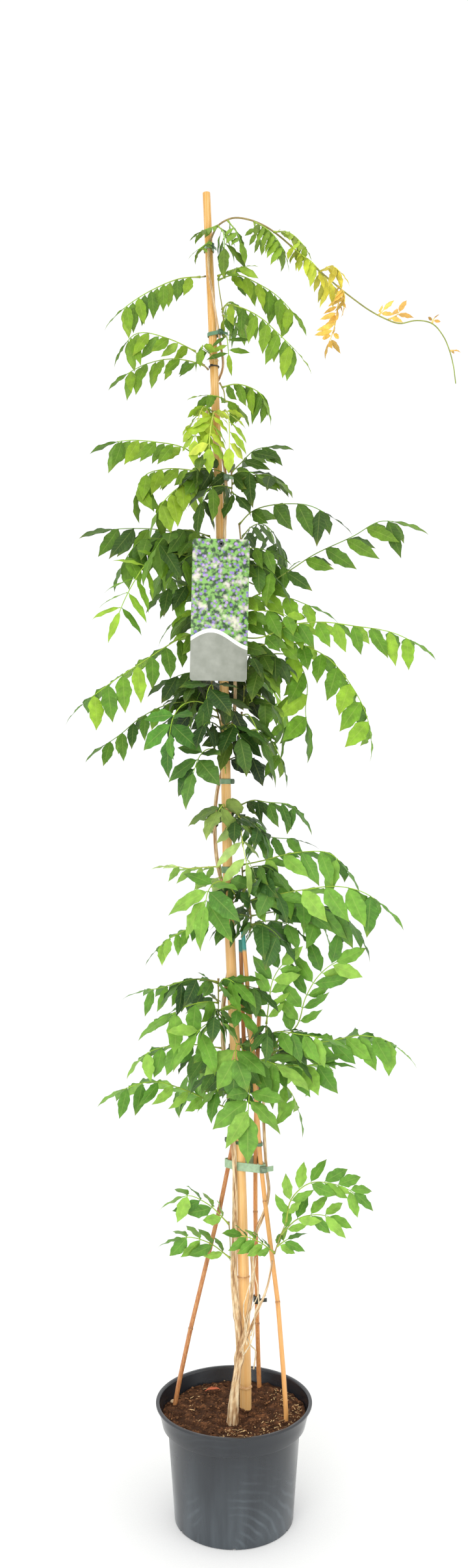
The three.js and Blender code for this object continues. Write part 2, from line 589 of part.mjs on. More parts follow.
// Leaf shoots. Each has a short stalk and its fronds. A frond is
// [pairs of leaflets, leaflet length, leaflet width, droop in degrees, bare share of the rib, path],
// and its path runs from the stalk to the tip of the end leaflet. Up to three more numbers, in degrees,
// tilt its upper face toward the viewer, turn its leaflets toward its tip and twist each of them.
const shoots = {
  shoot_runner: {
    colour: colours.youngLeaf,
    stalk: [2.2, [
      [-37, 1960, -11], [-34, 1966, -12], [-27, 1981, -14], [-15, 1992, -15], [5, 1996, -17],
      [27, 1992, -19], [55, 1979, -22], [80, 1959, -24], [110, 1933, -25], [140, 1907, -24],
      [180, 1874, -22], [220, 1847, -21], [258, 1833, -20], [280, 1838, -19], [300, 1836, -19],
      [320, 1817, -19], [330, 1796, -20], [337, 1771, -21], [341, 1741, -22],
    ]],
    fronds: [
      [1, 26, 12, 20, 0.3, [[-27, 1983, -14], [-50, 1975, -22], [-68, 1961, -26]]],
      [1, 24, 10, 20, 0.3, [[-35, 1957, -12], [-55, 1947, -24], [-73, 1936, -28]]],
      [2, 46, 20, 62, 0.35, [[-24, 1984, -15], [-16, 1972, -34], [-15, 1945, -42], [-14, 1906, -40]]],
      [1, 35, 14, 55, 0.3, [[-8, 1994, -16], [6, 1970, -28], [18, 1928, -32]]],
      [1, 24, 9, 30, 0.3, [[30, 1991, -19], [34, 1972, -10], [46, 1956, -5], [62, 1942, -3]]],
      [1, 32, 14, 50, 0.2, [[36, 1990, -20], [54, 1976, -32], [72, 1954, -40], [86, 1916, -42]]],
      [1, 24, 11, 20, 0.2, [[60, 1977, -22], [82, 1974, -34], [104, 1957, -42], [121, 1931, -44]]],
      [2, 30, 12, 55, 0.15, [[84, 1955, -24], [100, 1942, -34], [122, 1926, -40], [141, 1898, -40]]],
      [2, 42, 13, 60, 0.15, [[128, 1918, -24], [142, 1904, -12], [152, 1892, -4], [156, 1854, -2]]],
      [1, 27, 12, 15, 0.2, [[134, 1913, -24], [150, 1922, -34], [164, 1912, -40], [178, 1892, -42]]],
      [1, 34, 14, 50, 0.3, [[160, 1891, -23], [168, 1884, -30], [168, 1844, -30]]],
      [2, 27, 9, 45, 0.25, [[166, 1886, -22], [160, 1862, -10], [156, 1834, -5], [137, 1780, -2]]],
      [1, 22, 9, 20, 0.2, [[222, 1846, -21], [234, 1858, -28], [246, 1868, -34]]],
      [1, 26, 11, 30, 0.2, [[240, 1838, -20], [254, 1850, -14], [256, 1874, -10]]],
      [0, 12, 5, 20, 0.2, [[302, 1835, -19], [309, 1842, -17], [318, 1842, -15]]],
      [0, 12, 5, 20, 0.2, [[331, 1794, -20], [339, 1792, -18], [347, 1785, -17]]],
    ],
  },
  shoot_left_1: {
    colour: colours.leaf,
    stalk: [1.5, [[-44, 1906, -10], [-48, 1905, -14], [-56, 1905, -18]]],
    fronds: [
      [2, 51, 22, 66, 0.3,
        [[-52, 1905, -16], [-80, 1903, -26], [-120, 1888, -34], [-160, 1864, -36], [-200, 1828, -32]]],
    ],
  },
  shoot_left_2: {
    colour: colours.leaf,
    stalk: [1.8, [[-39, 1762, -8], [-48, 1770, -12], [-60, 1792, -14]]],
    fronds: [
      [2, 48, 20, 62, 0.2, [[-60, 1790, -14], [-98, 1809, -26], [-150, 1818, -34], [-184, 1771, -38]]],
      [2, 46, 19, 60, 0.2,
        [[-46, 1768, -11], [-70, 1776, 0], [-95, 1779, 8], [-135, 1771, 14], [-194, 1736, 18]]],
      [1, 35, 16, 55, 0.3, [[-54, 1780, -13], [-48, 1800, -32], [-50, 1796, -44], [-54, 1762, -46]]],
    ],
  },
  shoot_right_1: {
    colour: colours.leaf,
    stalk: [1.7, [[-15, 1812, 4], [-17, 1850, 2], [-22, 1880, 0], [-25, 1908, 0]]],
    fronds: [
      [2, 30, 11, 50, 0.15, [[-16, 1815, 3], [-8, 1812, -10], [4, 1798, -18], [12, 1762, -20]]],
      [0, 30, 16, 40, 0.3, [[-17, 1846, 2], [-12, 1842, -8], [-7, 1815, -12]]],
      [2, 48, 20, 62, 0.3,
        [[-18, 1850, 2], [-13, 1862, -14], [10, 1858, -28], [40, 1843, -40], [68, 1818, -46],
          [123, 1763, -50]]],
      [2, 44, 19, 60, 0.28,
        [[-24, 1900, 0], [-2, 1908, 0], [40, 1893, 6], [65, 1877, 10], [85, 1857, 12], [113, 1818, 12]]],
      [1, 33, 14, 20, 0.3, [[-25, 1906, 0], [-8, 1914, -16], [12, 1920, -28], [37, 1922, -34]]],
    ],
  },
  shoot_centre_1: {
    colour: colours.leaf,
    stalk: [1.8, [[-22, 1742, -6], [-17, 1734, -10], [-14, 1712, -12]]],
    fronds: [
      [2, 46, 23, 62, 0.2,
        [[-17, 1736, -9], [0, 1740, -22], [25, 1735, -34], [40, 1726, -40], [52, 1679, -44]]],
      [2, 35, 16, 40, 0.3, [[-15, 1716, -12], [-28, 1722, -26], [-46, 1722, -34], [-66, 1706, -38]]],
      [2, 35, 17, 55, 0.2, [[-14, 1714, -12], [-2, 1712, -10], [21, 1676, -10]]],
    ],
  },
  shoot_pale: {
    colour: colours.paleLeaf,
    stalk: [1.6, [[-38, 1700, -13], [-26, 1697, -16], [-12, 1700, -14]]],
    fronds: [
      [2, 42, 22, 30, 0.12, [[-37, 1700, -13], [-46, 1706, -34], [-56, 1684, -46], [-62, 1619, -50]], 60],
      [2, 42, 22, 30, 0.15, [[-30, 1698, -15], [-32, 1694, -46], [-36, 1672, -62], [-40, 1606, -66]], 60],
      [2, 44, 20, 30, 0.2, [[-14, 1700, -14], [-9, 1694, -36], [-7, 1668, -52], [-9, 1606, -54]], 60],
    ],
  },
  shoot_centre_2: {
    colour: colours.darkLeaf,
    stalk: [1.8, [[-4, 1606, -10], [-3, 1590, -12], [-4, 1570, -12]]],
    fronds: [
      [2, 53, 25, 64, 0.18,
        [[-4, 1598, -11], [10, 1606, -26], [32, 1602, -38], [48, 1589, -44], [67, 1573, -46]]],
      [1, 40, 22, 60, 0.2, [[-4, 1574, -12], [6, 1566, -22], [25, 1540, -28]]],
      [2, 44, 20, 50, 0.25,
        [[-4, 1604, -10], [10, 1618, 2], [35, 1640, 10], [60, 1642, 16], [85, 1626, 20]]],
      [2, 51, 25, 60, 0.3,
        [[-4, 1580, -12], [-20, 1584, -30], [-40, 1578, -42], [-50, 1556, -48], [-52, 1508, -48]]],
    ],
  },
  shoot_left_3: {
    colour: colours.leaf,
    stalk: [1.9, [[-37, 1596, 2], [-38, 1606, 0], [-42, 1616, -2]]],
    fronds: [
      [2, 53, 23, 64, 0.42,
        [[-42, 1615, -2], [-50, 1622, -8], [-75, 1641, -18], [-120, 1651, -26], [-170, 1653, -30],
          [-220, 1638, -34]]],
      [2, 48, 22, 62, 0.3,
        [[-38, 1604, 0], [-60, 1607, 10], [-110, 1609, 18], [-135, 1601, 22], [-147, 1584, 24],
          [-142, 1530, 26]]],
      [2, 51, 26, 56, 0.2,
        [[-38, 1599, 1], [-52, 1596, -18], [-84, 1582, -30], [-112, 1554, -36], [-126, 1502, -38]]],
    ],
  },
  shoot_left_4: {
    colour: colours.darkLeaf,
    stalk: [2, [[-34, 1478, 6], [-34, 1494, 5], [-38, 1508, 2]]],
    fronds: [
      [2, 57, 24, 68, 0.35,
        [[-34, 1490, 5], [-90, 1512, 20], [-145, 1518, 28], [-190, 1516, 32], [-235, 1507, 34]]],
      [2, 51, 24, 60, 0.4,
        [[-34, 1484, 5], [-90, 1498, 2], [-142, 1500, -8], [-166, 1472, -14], [-182, 1424, -16]]],
      [2, 62, 29, 60, 0.3,
        [[-38, 1506, 2], [-75, 1516, -22], [-104, 1508, -44], [-124, 1478, -52], [-128, 1432, -54]]],
      [1, 52, 24, 62, 0.25, [[-34, 1480, 5], [-46, 1482, -16], [-78, 1470, -32], [-96, 1420, -38]]],
    ],
  },
  shoot_left_5: {
    colour: colours.leaf,
    stalk: [2, [[-33, 1452, 8], [-31, 1400, 10], [-28, 1345, 10]]],
    fronds: [
      [3, 59, 20, 18, 0.4,
        [[-33, 1448, 8], [-80, 1478, -6], [-132, 1466, -32], [-155, 1434, -42], [-179, 1382, -48],
          [-190, 1345, -50]], 75, 0, 58],
      [3, 55, 26, 68, 0.25,
        [[-28, 1348, 10], [-70, 1354, 0], [-102, 1338, -16], [-140, 1313, -26], [-170, 1294, -32],
          [-262, 1226, -38]]],
      [1, 50, 24, 62, 0.25, [[-32, 1430, 9], [-50, 1436, 24], [-84, 1424, 30], [-104, 1378, 30]]],
      [1, 50, 24, 62, 0.25, [[-31, 1388, 10], [-52, 1394, 18], [-88, 1380, 16], [-104, 1336, 12]]],
    ],
  },
  shoot_left_6: {
    colour: colours.darkLeaf,
    stalk: [2, [[-34, 1300, 14], [-34, 1270, 16], [-33, 1240, 18]]],
    fronds: [
      [2, 44, 19, 55, 0.35,
        [[-33, 1246, 18], [-90, 1250, 20], [-145, 1226, 22], [-175, 1201, 24], [-230, 1166, 26]]],
      [2, 51, 25, 62, 0.3, [[-34, 1292, 14], [-70, 1296, 26], [-100, 1284, 32], [-126, 1256, 34]]],
      [1, 52, 26, 62, 0.2, [[-34, 1268, 16], [-46, 1272, 0], [-56, 1258, -12], [-60, 1206, -16]]],
      [1, 52, 26, 62, 0.2,
        [[-33, 1246, 18], [-31, 1254, 0], [-18, 1256, -18], [-2, 1240, -28], [3, 1190, -30]]],
      [1, 52, 26, 62, 0.2, [[-34, 1285, 15], [-50, 1292, 6], [-74, 1280, 0], [-84, 1232, -4]]],
    ],
  },
  shoot_front_1: {
    colour: colours.leaf,
    stalk: [2, [[-32, 1262, -6], [-26, 1238, -12], [-16, 1190, -14], [-13, 1141, -12]]],
    fronds: [
      [2, 74, 42, 44, 0.45,
        [[-26, 1238, -12], [-56, 1240, -38], [-90, 1228, -66], [-106, 1206, -88], [-109, 1145, -100]]],
      [2, 74, 42, 44, 0.35,
        [[-14, 1146, -13], [-24, 1154, -38], [-44, 1152, -64], [-66, 1136, -80], [-86, 1098, -86]]],
      [2, 64, 40, 50, 0.2, [[-31, 1260, -7], [-34, 1268, -30], [-42, 1252, -50], [-46, 1202, -58]]],
      [2, 64, 40, 50, 0.2, [[-17, 1196, -14], [-6, 1208, -34], [-2, 1200, -48], [2, 1150, -54]]],
    ],
  },
  shoot_front_2: {
    colour: colours.paleLeaf,
    stalk: [1.8, [[-16, 1086, -9], [-8, 1084, -10], [4, 1080, -8]]],
    fronds: [
      [1, 55, 36, 50, 0.3, [[-14, 1086, -9], [-16, 1094, -32], [-26, 1080, -48], [-38, 1036, -54]]],
      [2, 53, 17, 38, 0.15,
        [[3, 1081, -8], [8, 1074, -26], [11, 1050, -34], [20, 1000, -38], [33, 956, -38]]],
    ],
  },
  shoot_left_7: {
    colour: colours.paleLeaf,
    stalk: [1.6, [[-22, 1004, -12], [-18, 978, -13]]],
    fronds: [
      [2, 37, 12, 30, 0.25,
        [[-21, 998, -12], [-45, 997, -16], [-70, 995, -20], [-95, 998, -26], [-120, 981, -28]]],
      [1, 40, 24, 50, 0.3, [[-19, 982, -13], [-36, 976, -26], [-52, 950, -30]]],
    ],
  },
  shoot_front_3: {
    colour: colours.leaf,
    stalk: [2, [[4, 954, -12], [-8, 940, -14], [-20, 920, -10]]],
    fronds: [
      [2, 81, 40, 46, 0.35,
        [[3, 953, -12], [-16, 957, -38], [-34, 958, -64], [-42, 946, -88], [-36, 853, -104]]],
      [2, 33, 14, 30, 0.45, [[-18, 924, -11], [-55, 908, -20], [-95, 890, -26], [-138, 851, -30]]],
    ],
  },
  shoot_right_2: {
    colour: colours.darkLeaf,
    stalk: [1.9, [[8, 1526, 2], [10, 1510, 4], [10, 1480, 6], [10, 1440, 8]]],
    fronds: [
      [2, 55, 23, 64, 0.35,
        [[8, 1524, 2], [26, 1543, -12], [80, 1556, -24], [120, 1552, -30], [140, 1542, -32],
          [183, 1518, -34]]],
      [3, 59, 23, 66, 0.28,
        [[10, 1442, 8], [40, 1430, 14], [80, 1450, 12], [120, 1476, 8], [185, 1507, 0],
          [225, 1529, -6], [295, 1510, -10]]],
      [1, 40, 19, 58, 0.2, [[10, 1484, 6], [30, 1488, -4], [56, 1482, -8], [85, 1460, -10]]],
      [1, 42, 20, 58, 0.25, [[10, 1470, 6], [28, 1468, 22], [70, 1462, 32], [110, 1431, 36]]],
      [1, 52, 25, 60, 0.25, [[10, 1456, 7], [30, 1462, -4], [60, 1448, -12], [76, 1400, -14]]],
    ],
  },
  shoot_right_3: {
    colour: colours.leaf,
    stalk: [2, [[8, 1412, 8], [6, 1370, 10], [4, 1330, 12], [6, 1290, 12]]],
    fronds: [
      [1, 42, 22, 60, 0.2, [[8, 1408, 8], [26, 1412, 2], [40, 1404, -2], [46, 1384, -4]]],
      [2, 53, 26, 60, 0.25,
        [[7, 1398, 9], [42, 1418, 22], [82, 1412, 28], [122, 1397, 30], [162, 1386, 30]]],
      [1, 46, 23, 60, 0.3,
        [[6, 1372, 10], [46, 1376, 14], [84, 1372, 14], [112, 1362, 12], [130, 1336, 10]]],
      [3, 50, 22, 66, 0.3,
        [[5, 1350, 11], [40, 1350, -8], [90, 1370, -20], [137, 1374, -26], [185, 1368, -30],
          [240, 1359, -32], [312, 1324, -34]]],
      [2, 51, 30, 60, 0.2, [[5, 1300, 12], [22, 1310, -6], [44, 1297, -14], [56, 1252, -16]]],
      [1, 52, 26, 60, 0.2, [[4, 1334, 12], [22, 1342, 22], [50, 1334, 26], [68, 1286, 26]]],
      [1, 52, 25, 60, 0.3, [[6, 1385, 10], [40, 1392, -4], [80, 1384, -10], [104, 1334, -12]]],
    ],
  },
  shoot_right_4: {
    colour: colours.leaf,
    stalk: [2, [[16, 1330, 22], [16, 1280, 22], [14, 1240, 20]]],
    fronds: [
      [2, 55, 29, 56, 0.4,
        [[16, 1322, 22], [36, 1336, 18], [82, 1343, 10], [140, 1322, 2], [180, 1277, -4],
          [202, 1236, -6], [215, 1164, -8]]],
      [2, 66, 32, 56, 0.68,
        [[16, 1312, 22], [50, 1324, 34], [92, 1320, 42], [112, 1282, 44], [110, 1236, 44],
          [126, 1163, 44]]],
      [2, 55, 14, 40, 0.3, [[14, 1246, 20], [40, 1256, 20], [66, 1240, 20], [76, 1162, 20]]],
      [1, 52, 26, 60, 0.2, [[15, 1256, 21], [30, 1264, 8], [50, 1254, 2], [60, 1204, 0]]],
      [1, 52, 26, 60, 0.2, [[16, 1300, 22], [36, 1310, 32], [66, 1300, 36], [84, 1254, 36]]],
    ],
  },
  shoot_front_4: {
    colour: colours.leaf,
    stalk: [1.9, [[12, 1236, -2], [10, 1218, -4], [10, 1196, -2]]],
    fronds: [
      [1, 86, 30, 50, 0.2, [[11, 1230, -3], [22, 1232, -24], [38, 1202, -36], [62, 1126, -40]]],
      [2, 46, 22, 52, 0.25, [[10, 1204, -3], [42, 1208, 4], [64, 1180, 4], [85, 1124, 2]]],
      [1, 52, 26, 60, 0.2, [[10, 1200, -3], [1, 1209, -20], [-6, 1196, -28], [-9, 1146, -30]]],
    ],
  },
  shoot_right_5: {
    colour: colours.darkLeaf,
    stalk: [1.9, [[8, 1094, 6], [8, 1070, 8], [6, 1050, 8]]],
    fronds: [
      [2, 44, 18, 60, 0.25,
        [[8, 1092, 6], [30, 1100, -6], [50, 1097, -18], [90, 1091, -30], [116, 1048, -34]]],
      [1, 46, 16, 48, 0.3,
        [[7, 1060, 8], [30, 1058, 20], [55, 1044, 26], [90, 1040, 30], [127, 1026, 32]]],
      [2, 46, 24, 56, 0.2, [[7, 1074, 8], [24, 1074, -4], [42, 1050, -10], [46, 1010, -12]]],
    ],
  },
  shoot_right_6: {
    colour: colours.leaf,
    stalk: [2, [[12, 1004, 6], [14, 970, 10], [16, 936, 14]]],
    fronds: [
      [2, 57, 26, 64, 0.4,
        [[12, 1000, 6], [35, 1005, 2], [100, 1020, -8], [145, 1019, -14], [193, 961, -18]]],
      [3, 64, 30, 66, 0.25,
        [[15, 944, 13], [42, 950, -10], [105, 962, -30], [165, 967, -40], [200, 958, -44],
          [257, 904, -46]]],
      [2, 61, 31, 60, 0.25,
        [[14, 968, 10], [50, 970, 22], [95, 960, 30], [130, 922, 36], [145, 866, 38]]],
    ],
  },
  shoot_right_7: {
    colour: colours.darkLeaf,
    stalk: [2, [[24, 938, 0], [26, 916, 0], [24, 896, -2]]],
    fronds: [
      [2, 66, 28, 62, 0.5,
        [[25, 922, 0], [60, 928, 16], [120, 936, 28], [165, 926, 34], [188, 896, 38], [182, 852, 40]]],
      [2, 55, 32, 52, 0.15,
        [[24, 902, -2], [36, 910, -22], [56, 902, -36], [76, 880, -46], [84, 836, -48]]],
      [2, 53, 32, 50, 0.15,
        [[25, 934, 0], [26, 972, -14], [40, 984, -26], [60, 966, -34], [70, 912, -36]]],
      [1, 52, 26, 60, 0.2, [[24, 908, 0], [46, 914, 8], [84, 908, 14], [112, 866, 16]]],
    ],
  },
  shoot_left_8: {
    colour: colours.leaf,
    stalk: [2, [[-24, 826, -6], [-24, 800, -8], [-24, 768, -10]]],
    fronds: [
      [2, 46, 19, 56, 0.2,
        [[-24, 820, -6], [-40, 824, -4], [-75, 822, -4], [-115, 811, -6], [-170, 802, -8]]],
      [2, 62, 31, 56, 0.2,
        [[-24, 788, -9], [-44, 790, -26], [-75, 782, -40], [-100, 768, -48], [-150, 744, -54]]],
      [2, 66, 32, 50, 0.3,
        [[-24, 770, -10], [-32, 762, -40], [-52, 748, -66], [-70, 722, -80], [-88, 684, -84]]],
      [1, 52, 26, 60, 0.2, [[-24, 776, -10], [-6, 784, -22], [10, 774, -30], [18, 726, -32]]],
      [1, 52, 26, 60, 0.2, [[-24, 814, -7], [-14, 826, -24], [0, 820, -34], [8, 772, -38]]],
    ],
  },
  shoot_left_9: {
    colour: colours.leaf,
    stalk: [2, [[-18, 722, 12], [-16, 690, 12], [-10, 640, 14], [-8, 618, 14]]],
    fronds: [
      [2, 48, 28, 66, 0.3,
        [[-18, 718, 12], [-60, 724, 8], [-98, 722, 4], [-132, 712, 2], [-162, 673, 2]]],
      [2, 51, 25, 66, 0.42,
        [[-8, 626, 14], [-30, 634, 10], [-70, 652, 2], [-125, 667, -4], [-170, 655, -8],
          [-208, 632, -10]]],
      [2, 48, 30, 58, 0.2, [[-12, 660, 13], [-20, 664, -6], [-28, 644, -20], [-32, 606, -24]]],
    ],
  },
  shoot_front_5: {
    colour: colours.leaf,
    stalk: [2, [[14, 706, -18], [16, 680, -19], [20, 642, -20]]],
    fronds: [
      [2, 68, 40, 46, 0.4,
        [[14, 700, -18], [10, 710, -46], [5, 704, -74], [2, 690, -94], [3, 640, -102]]],
      [2, 77, 41, 42, 0.3,
        [[19, 648, -20], [22, 650, -46], [22, 640, -74], [20, 620, -96], [20, 546, -108]]],
      [2, 64, 34, 56, 0.2,
        [[16, 684, -19], [36, 700, -38], [62, 694, -54], [84, 676, -64], [102, 646, -66]]],
    ],
  },
  shoot_right_8: {
    colour: colours.leaf,
    stalk: [2, [[52, 700, -2], [48, 730, -2], [50, 760, -4]]],
    fronds: [
      [2, 52, 24, 26, 0.35,
        [[50, 756, -4], [54, 790, -8], [60, 824, -8], [76, 848, -8], [112, 858, -10]], 45],
      [2, 48, 23, 56, 0.25,
        [[49, 736, -2], [66, 744, -16], [100, 740, -26], [140, 732, -32], [172, 714, -34]]],
    ],
  },
  shoot_right_9: {
    colour: colours.leaf,
    stalk: [2, [[58, 690, 14], [60, 716, 14], [66, 730, 14]]],
    fronds: [
      [2, 54, 23, 26, 0.4,
        [[64, 728, 14], [96, 752, 18], [110, 796, 20], [132, 832, 22], [160, 852, 24],
          [205, 846, 26]], 40, 14],
      [2, 55, 29, 64, 0.45,
        [[60, 712, 14], [92, 722, 26], [150, 730, 34], [195, 738, 38], [235, 730, 40], [275, 690, 42]]],
      [2, 53, 28, 62, 0.35,
        [[58, 696, 14], [80, 692, 2], [112, 692, -6], [148, 692, -10], [172, 664, -12]]],
      [2, 53, 18, 50, 0.3, [[58, 692, 14], [70, 672, 14], [88, 650, 12], [108, 586, 10]]],
    ],
  },
  shoot_low_left: {
    colour: colours.leaf,
    stalk: [1.5, [[-8, 452, -20], [-6, 424, -22], [-6, 392, -22]]],
    fronds: [
      [2, 42, 24, 58, 0.3, [[-8, 448, -20], [-42, 480, -22], [-70, 492, -22], [-110, 466, -22]]],
      [2, 40, 22, 64, 0.3, [[-6, 396, -22], [-40, 420, -30], [-70, 428, -34], [-115, 412, -36]]],
    ],
  },
  shoot_low_right: {
    colour: colours.leaf,
    stalk: [1.5, [[62, 402, -51], [70, 426, -52], [82, 456, -52]]],
    fronds: [
      [2, 42, 20, 14, 0.15,
        [[80, 452, -52], [88, 486, -52], [114, 510, -50], [165, 506, -48], [215, 471, -46]], 50, 22],
      [2, 31, 19, 50, 0.3, [[63, 404, -51], [40, 420, -56], [15, 430, -58], [-16, 436, -58]]],
      [2, 33, 16, 40, 0.3, [[66, 414, -52], [86, 426, -44], [112, 424, -38]]],
      [2, 42, 18, 16, 0.25, [[72, 432, -52], [98, 456, -40], [136, 462, -32], [180, 440, -28]], 50, 22],
    ],
  },
};

// Fronds on the far side, which hang away from the viewer.
const farFronds = {
  shoot_left_3: [
    [1, 51, 23, 62, 0.25,
      [[-38, 1600, 1], [-46, 1612, 40], [-60, 1612, 90], [-76, 1590, 140], [-86, 1545, 176]]],
  ],
  shoot_right_1: [
    [1, 44, 19, 60, 0.25,
      [[-18, 1856, 2], [-8, 1866, 36], [2, 1862, 80], [10, 1840, 120], [14, 1800, 148]]],
  ],
  shoot_right_2: [
    [1, 53, 24, 62, 0.25,
      [[10, 1500, 5], [26, 1520, 50], [46, 1524, 100], [66, 1502, 146], [76, 1450, 184]]],
  ],
  shoot_left_4: [
    [1, 55, 25, 62, 0.25,
      [[-34, 1482, 6], [-56, 1488, 56], [-84, 1480, 104], [-110, 1454, 146], [-124, 1404, 178]]],
  ],
  shoot_left_6: [
    [1, 55, 26, 60, 0.25,
      [[-34, 1268, 16], [-40, 1284, 60], [-52, 1286, 110], [-64, 1262, 158], [-70, 1212, 192]]],
  ],
  shoot_right_4: [
    [1, 55, 26, 60, 0.25,
      [[15, 1272, 22], [24, 1286, 70], [44, 1284, 120], [66, 1256, 166], [76, 1202, 196]]],
  ],
  shoot_right_5: [
    [1, 51, 23, 60, 0.25,
      [[7, 1064, 8], [12, 1074, 56], [26, 1072, 104], [44, 1048, 148], [54, 1002, 178]]],
  ],
  shoot_right_6: [
    [1, 59, 29, 60, 0.25,
      [[14, 960, 11], [34, 978, 58], [60, 980, 106], [92, 958, 152], [116, 902, 186]]],
  ],
  shoot_left_9: [
    [1, 55, 28, 60, 0.25,
      [[-14, 676, 12], [-34, 690, 56], [-56, 690, 104], [-76, 668, 148], [-86, 620, 178]]],
  ],
  shoot_right_9: [
    [1, 55, 26, 60, 0.25,
      [[60, 704, 14], [70, 722, 60], [86, 722, 106], [104, 700, 150], [112, 650, 180]]],
  ],
};

for (const [name, rows] of Object.entries(farFronds)) shoots[name].fronds.push(...rows);

// The ways a leaflet may turn to stay clear of its neighbours: [more droop, more forward, length].
const turns = [
  [0, 0, 1], [12, 0, 1], [-14, 0, 1], [0, 16, 1], [0, -14, 1], [12, 16, 1], [-14, 16, 1],
  [-30, 0, 0.95], [-30, 18, 0.95], [-46, 8, 0.9], [14, 24, 0.85], [-14, 24, 0.8], [0, 0, 0.7],
  [-30, 0, 0.7], [-60, 10, 0.7], [0, 20, 0.55], [-30, 20, 0.55],
];

// The frame of a frond's rib at one length: heading, up and right.
function ribFrame(path, s, tilt) {
  const centre = path.at(s);
  const heading = path.heading(s);
  const outward = new THREE.Vector3(centre.x, centre.y, 0).normalize();
  const up = new THREE.Vector3(0, -Math.sin(tilt), Math.cos(tilt)).addScaledVector(outward, outwardLean);
  up.addScaledVector(heading, -up.dot(heading)).normalize();
  const right = heading.clone().cross(up);
  return { centre, heading, up, right };
}

// Outline and rib points of one leaflet. Side is 1 on the right of the rib, -1 on the left, 0 at its end.
function leafletPoints(frame, side, length, width, droop, forward, twist, key) {
  const { centre, heading, up, right } = frame;
  const lean = toRadians(droop);
  const away = side === 0 ? 0 : toRadians(leafletAngle - forward);
  const sideways = right.clone().multiplyScalar((side || 1) * Math.cos(lean));
  sideways.addScaledVector(up, -Math.sin(lean));
  const along = heading.clone().multiplyScalar(Math.cos(away)).addScaledVector(sideways, Math.sin(away));
  const flat = side === 0 ? right.clone() : heading.clone().multiplyScalar(Math.sin(away));
  if (side !== 0) flat.addScaledVector(sideways, -Math.cos(away));
  const facing = side < 0 ? flat.clone().cross(along) : along.clone().cross(flat);
  if (side === 0) facing.copy(up);
  const turn = toRadians(twist);
  const across = flat.clone().multiplyScalar(Math.cos(turn)).addScaledVector(facing, Math.sin(turn));
  const normal = facing.clone().multiplyScalar(Math.cos(turn)).addScaledVector(flat, -Math.sin(turn));
  const root = centre.clone().addScaledVector(right, side * rachisHalfWidth);
  const at = (share, wide, lift) => {
    const p = root.clone().addScaledVector(along, length * share);
    p.addScaledVector(across, (wide * width) / 2);
    return p.addScaledVector(normal, lift - leafletCurl * length * share * share);
  };
  const wave = (k) => (draw(key + k) - 0.35) * leafletWave * width;
  const tip = at(1, 0, 0);
  const small = [at(0.42, 1.04, wave(1)), tip, at(0.42, -1.04, wave(4))];
  const large = [at(0.28, 0.98, wave(1)), at(0.66, 0.8, wave(2)), tip, at(0.66, -0.8, wave(3))];
  large.push(at(0.28, -0.98, wave(4)));
  return {
    root,
    above: at(0.45, 0, bladeHalfThickness),
    below: at(0.45, 0, -bladeHalfThickness),
    rim: width < smallLeaflet ? small : large,
  };
}

// One leaflet as a solid of its own, to test whether it is clear.
function leafletSolid(leaf, side) {
  const shell = new Shell();
  const rim = leaf.rim.map((p) => shell.point(p));
  const tail = leaf.root.clone().lerp(leaf.above, 0.1);
  const root = shell.point(tail);
  const loop = side > 0 ? [root, ...rim.reverse()] : [root, ...rim];
  const above = shell.point(leaf.above.clone().addScaledVector(leaf.above.clone().sub(leaf.below), 0.4));
  const below = shell.point(leaf.below.clone().addScaledVector(leaf.below.clone().sub(leaf.above), 0.4));
  shell.fan(above, loop);
  shell.fan(below, loop.slice().reverse());
  return shell.solid();
}

// The point of a path that is nearest to another point.
function nearestOn(path, point, steps = 60) {
  let best = path.at(0);
  for (let k = 1; k <= steps; k++) {
    const p = path.at((path.total * k) / steps);
    if (p.distanceTo(point) < best.distanceTo(point)) best = p;
  }
  return best;
}

// The leaflets of one frond: where each springs, and its own size, droop and twist.
function frondLayout(row, key, stalk) {
  const [pairs, length, width, droop, bare, guide, tilt = 0, forward = 0, twist = leafletTwist] = row;
  const points = guide.map(place);
  points[0] = nearestOn(stalk, points[0]);
  const path = smoothPath(points);
  const ribLength = path.total - length * ribShare;
  const first = Math.max(ribLength * bare, leaflessFoot);
  const stations = [];
  for (let i = 0; i < pairs; i++) {
    const share = pairs > 1 ? i / (pairs - 1) : 1;
    const s = first + (ribLength - first - lastPairBack) * share;
    const swell = 0.62 + 0.42 * Math.sin(Math.PI * (0.12 + 0.5 * share)); // smaller toward the rib's foot
    stations.push({ s, swell, key: key + 10 * i });
  }
  const frameAt = (s) => ribFrame(path, s, toRadians(tilt));
  return { path, ribLength, stations, length, width, droop, forward, twist, frameAt, endKey: key + 7 };
}

// The leaflets that a pair's one side may have. On a rib's far side they hang less than on its near side.
function leafletChoices(layout, station, side) {
  const frame = layout.frameAt(station.s);
  const key = station.key + (side > 0 ? 5 : 0);
  const vary = (k, spread) => spread * (draw(key + k) - 0.5);
  const length = layout.length * station.swell * (1 + vary(0, 0.16));
  const width = layout.width * (1 + vary(1.5, 0.2));
  const farness = Math.max(side * frame.right.y, 0);
  const droop = layout.droop * (1 - farness) + vary(2.5, droopSpread);
  const twist = layout.twist + vary(3.5, twistSpread);
  const turn = layout.forward + vary(4.5, turnSpread);
  return turns.map(([more, ahead, scale]) => {
    const lean = Math.min(droop + more, steepestDroop);
    return leafletPoints(frame, side, length * scale, width * scale, lean, turn + ahead, twist, key);
  });
}

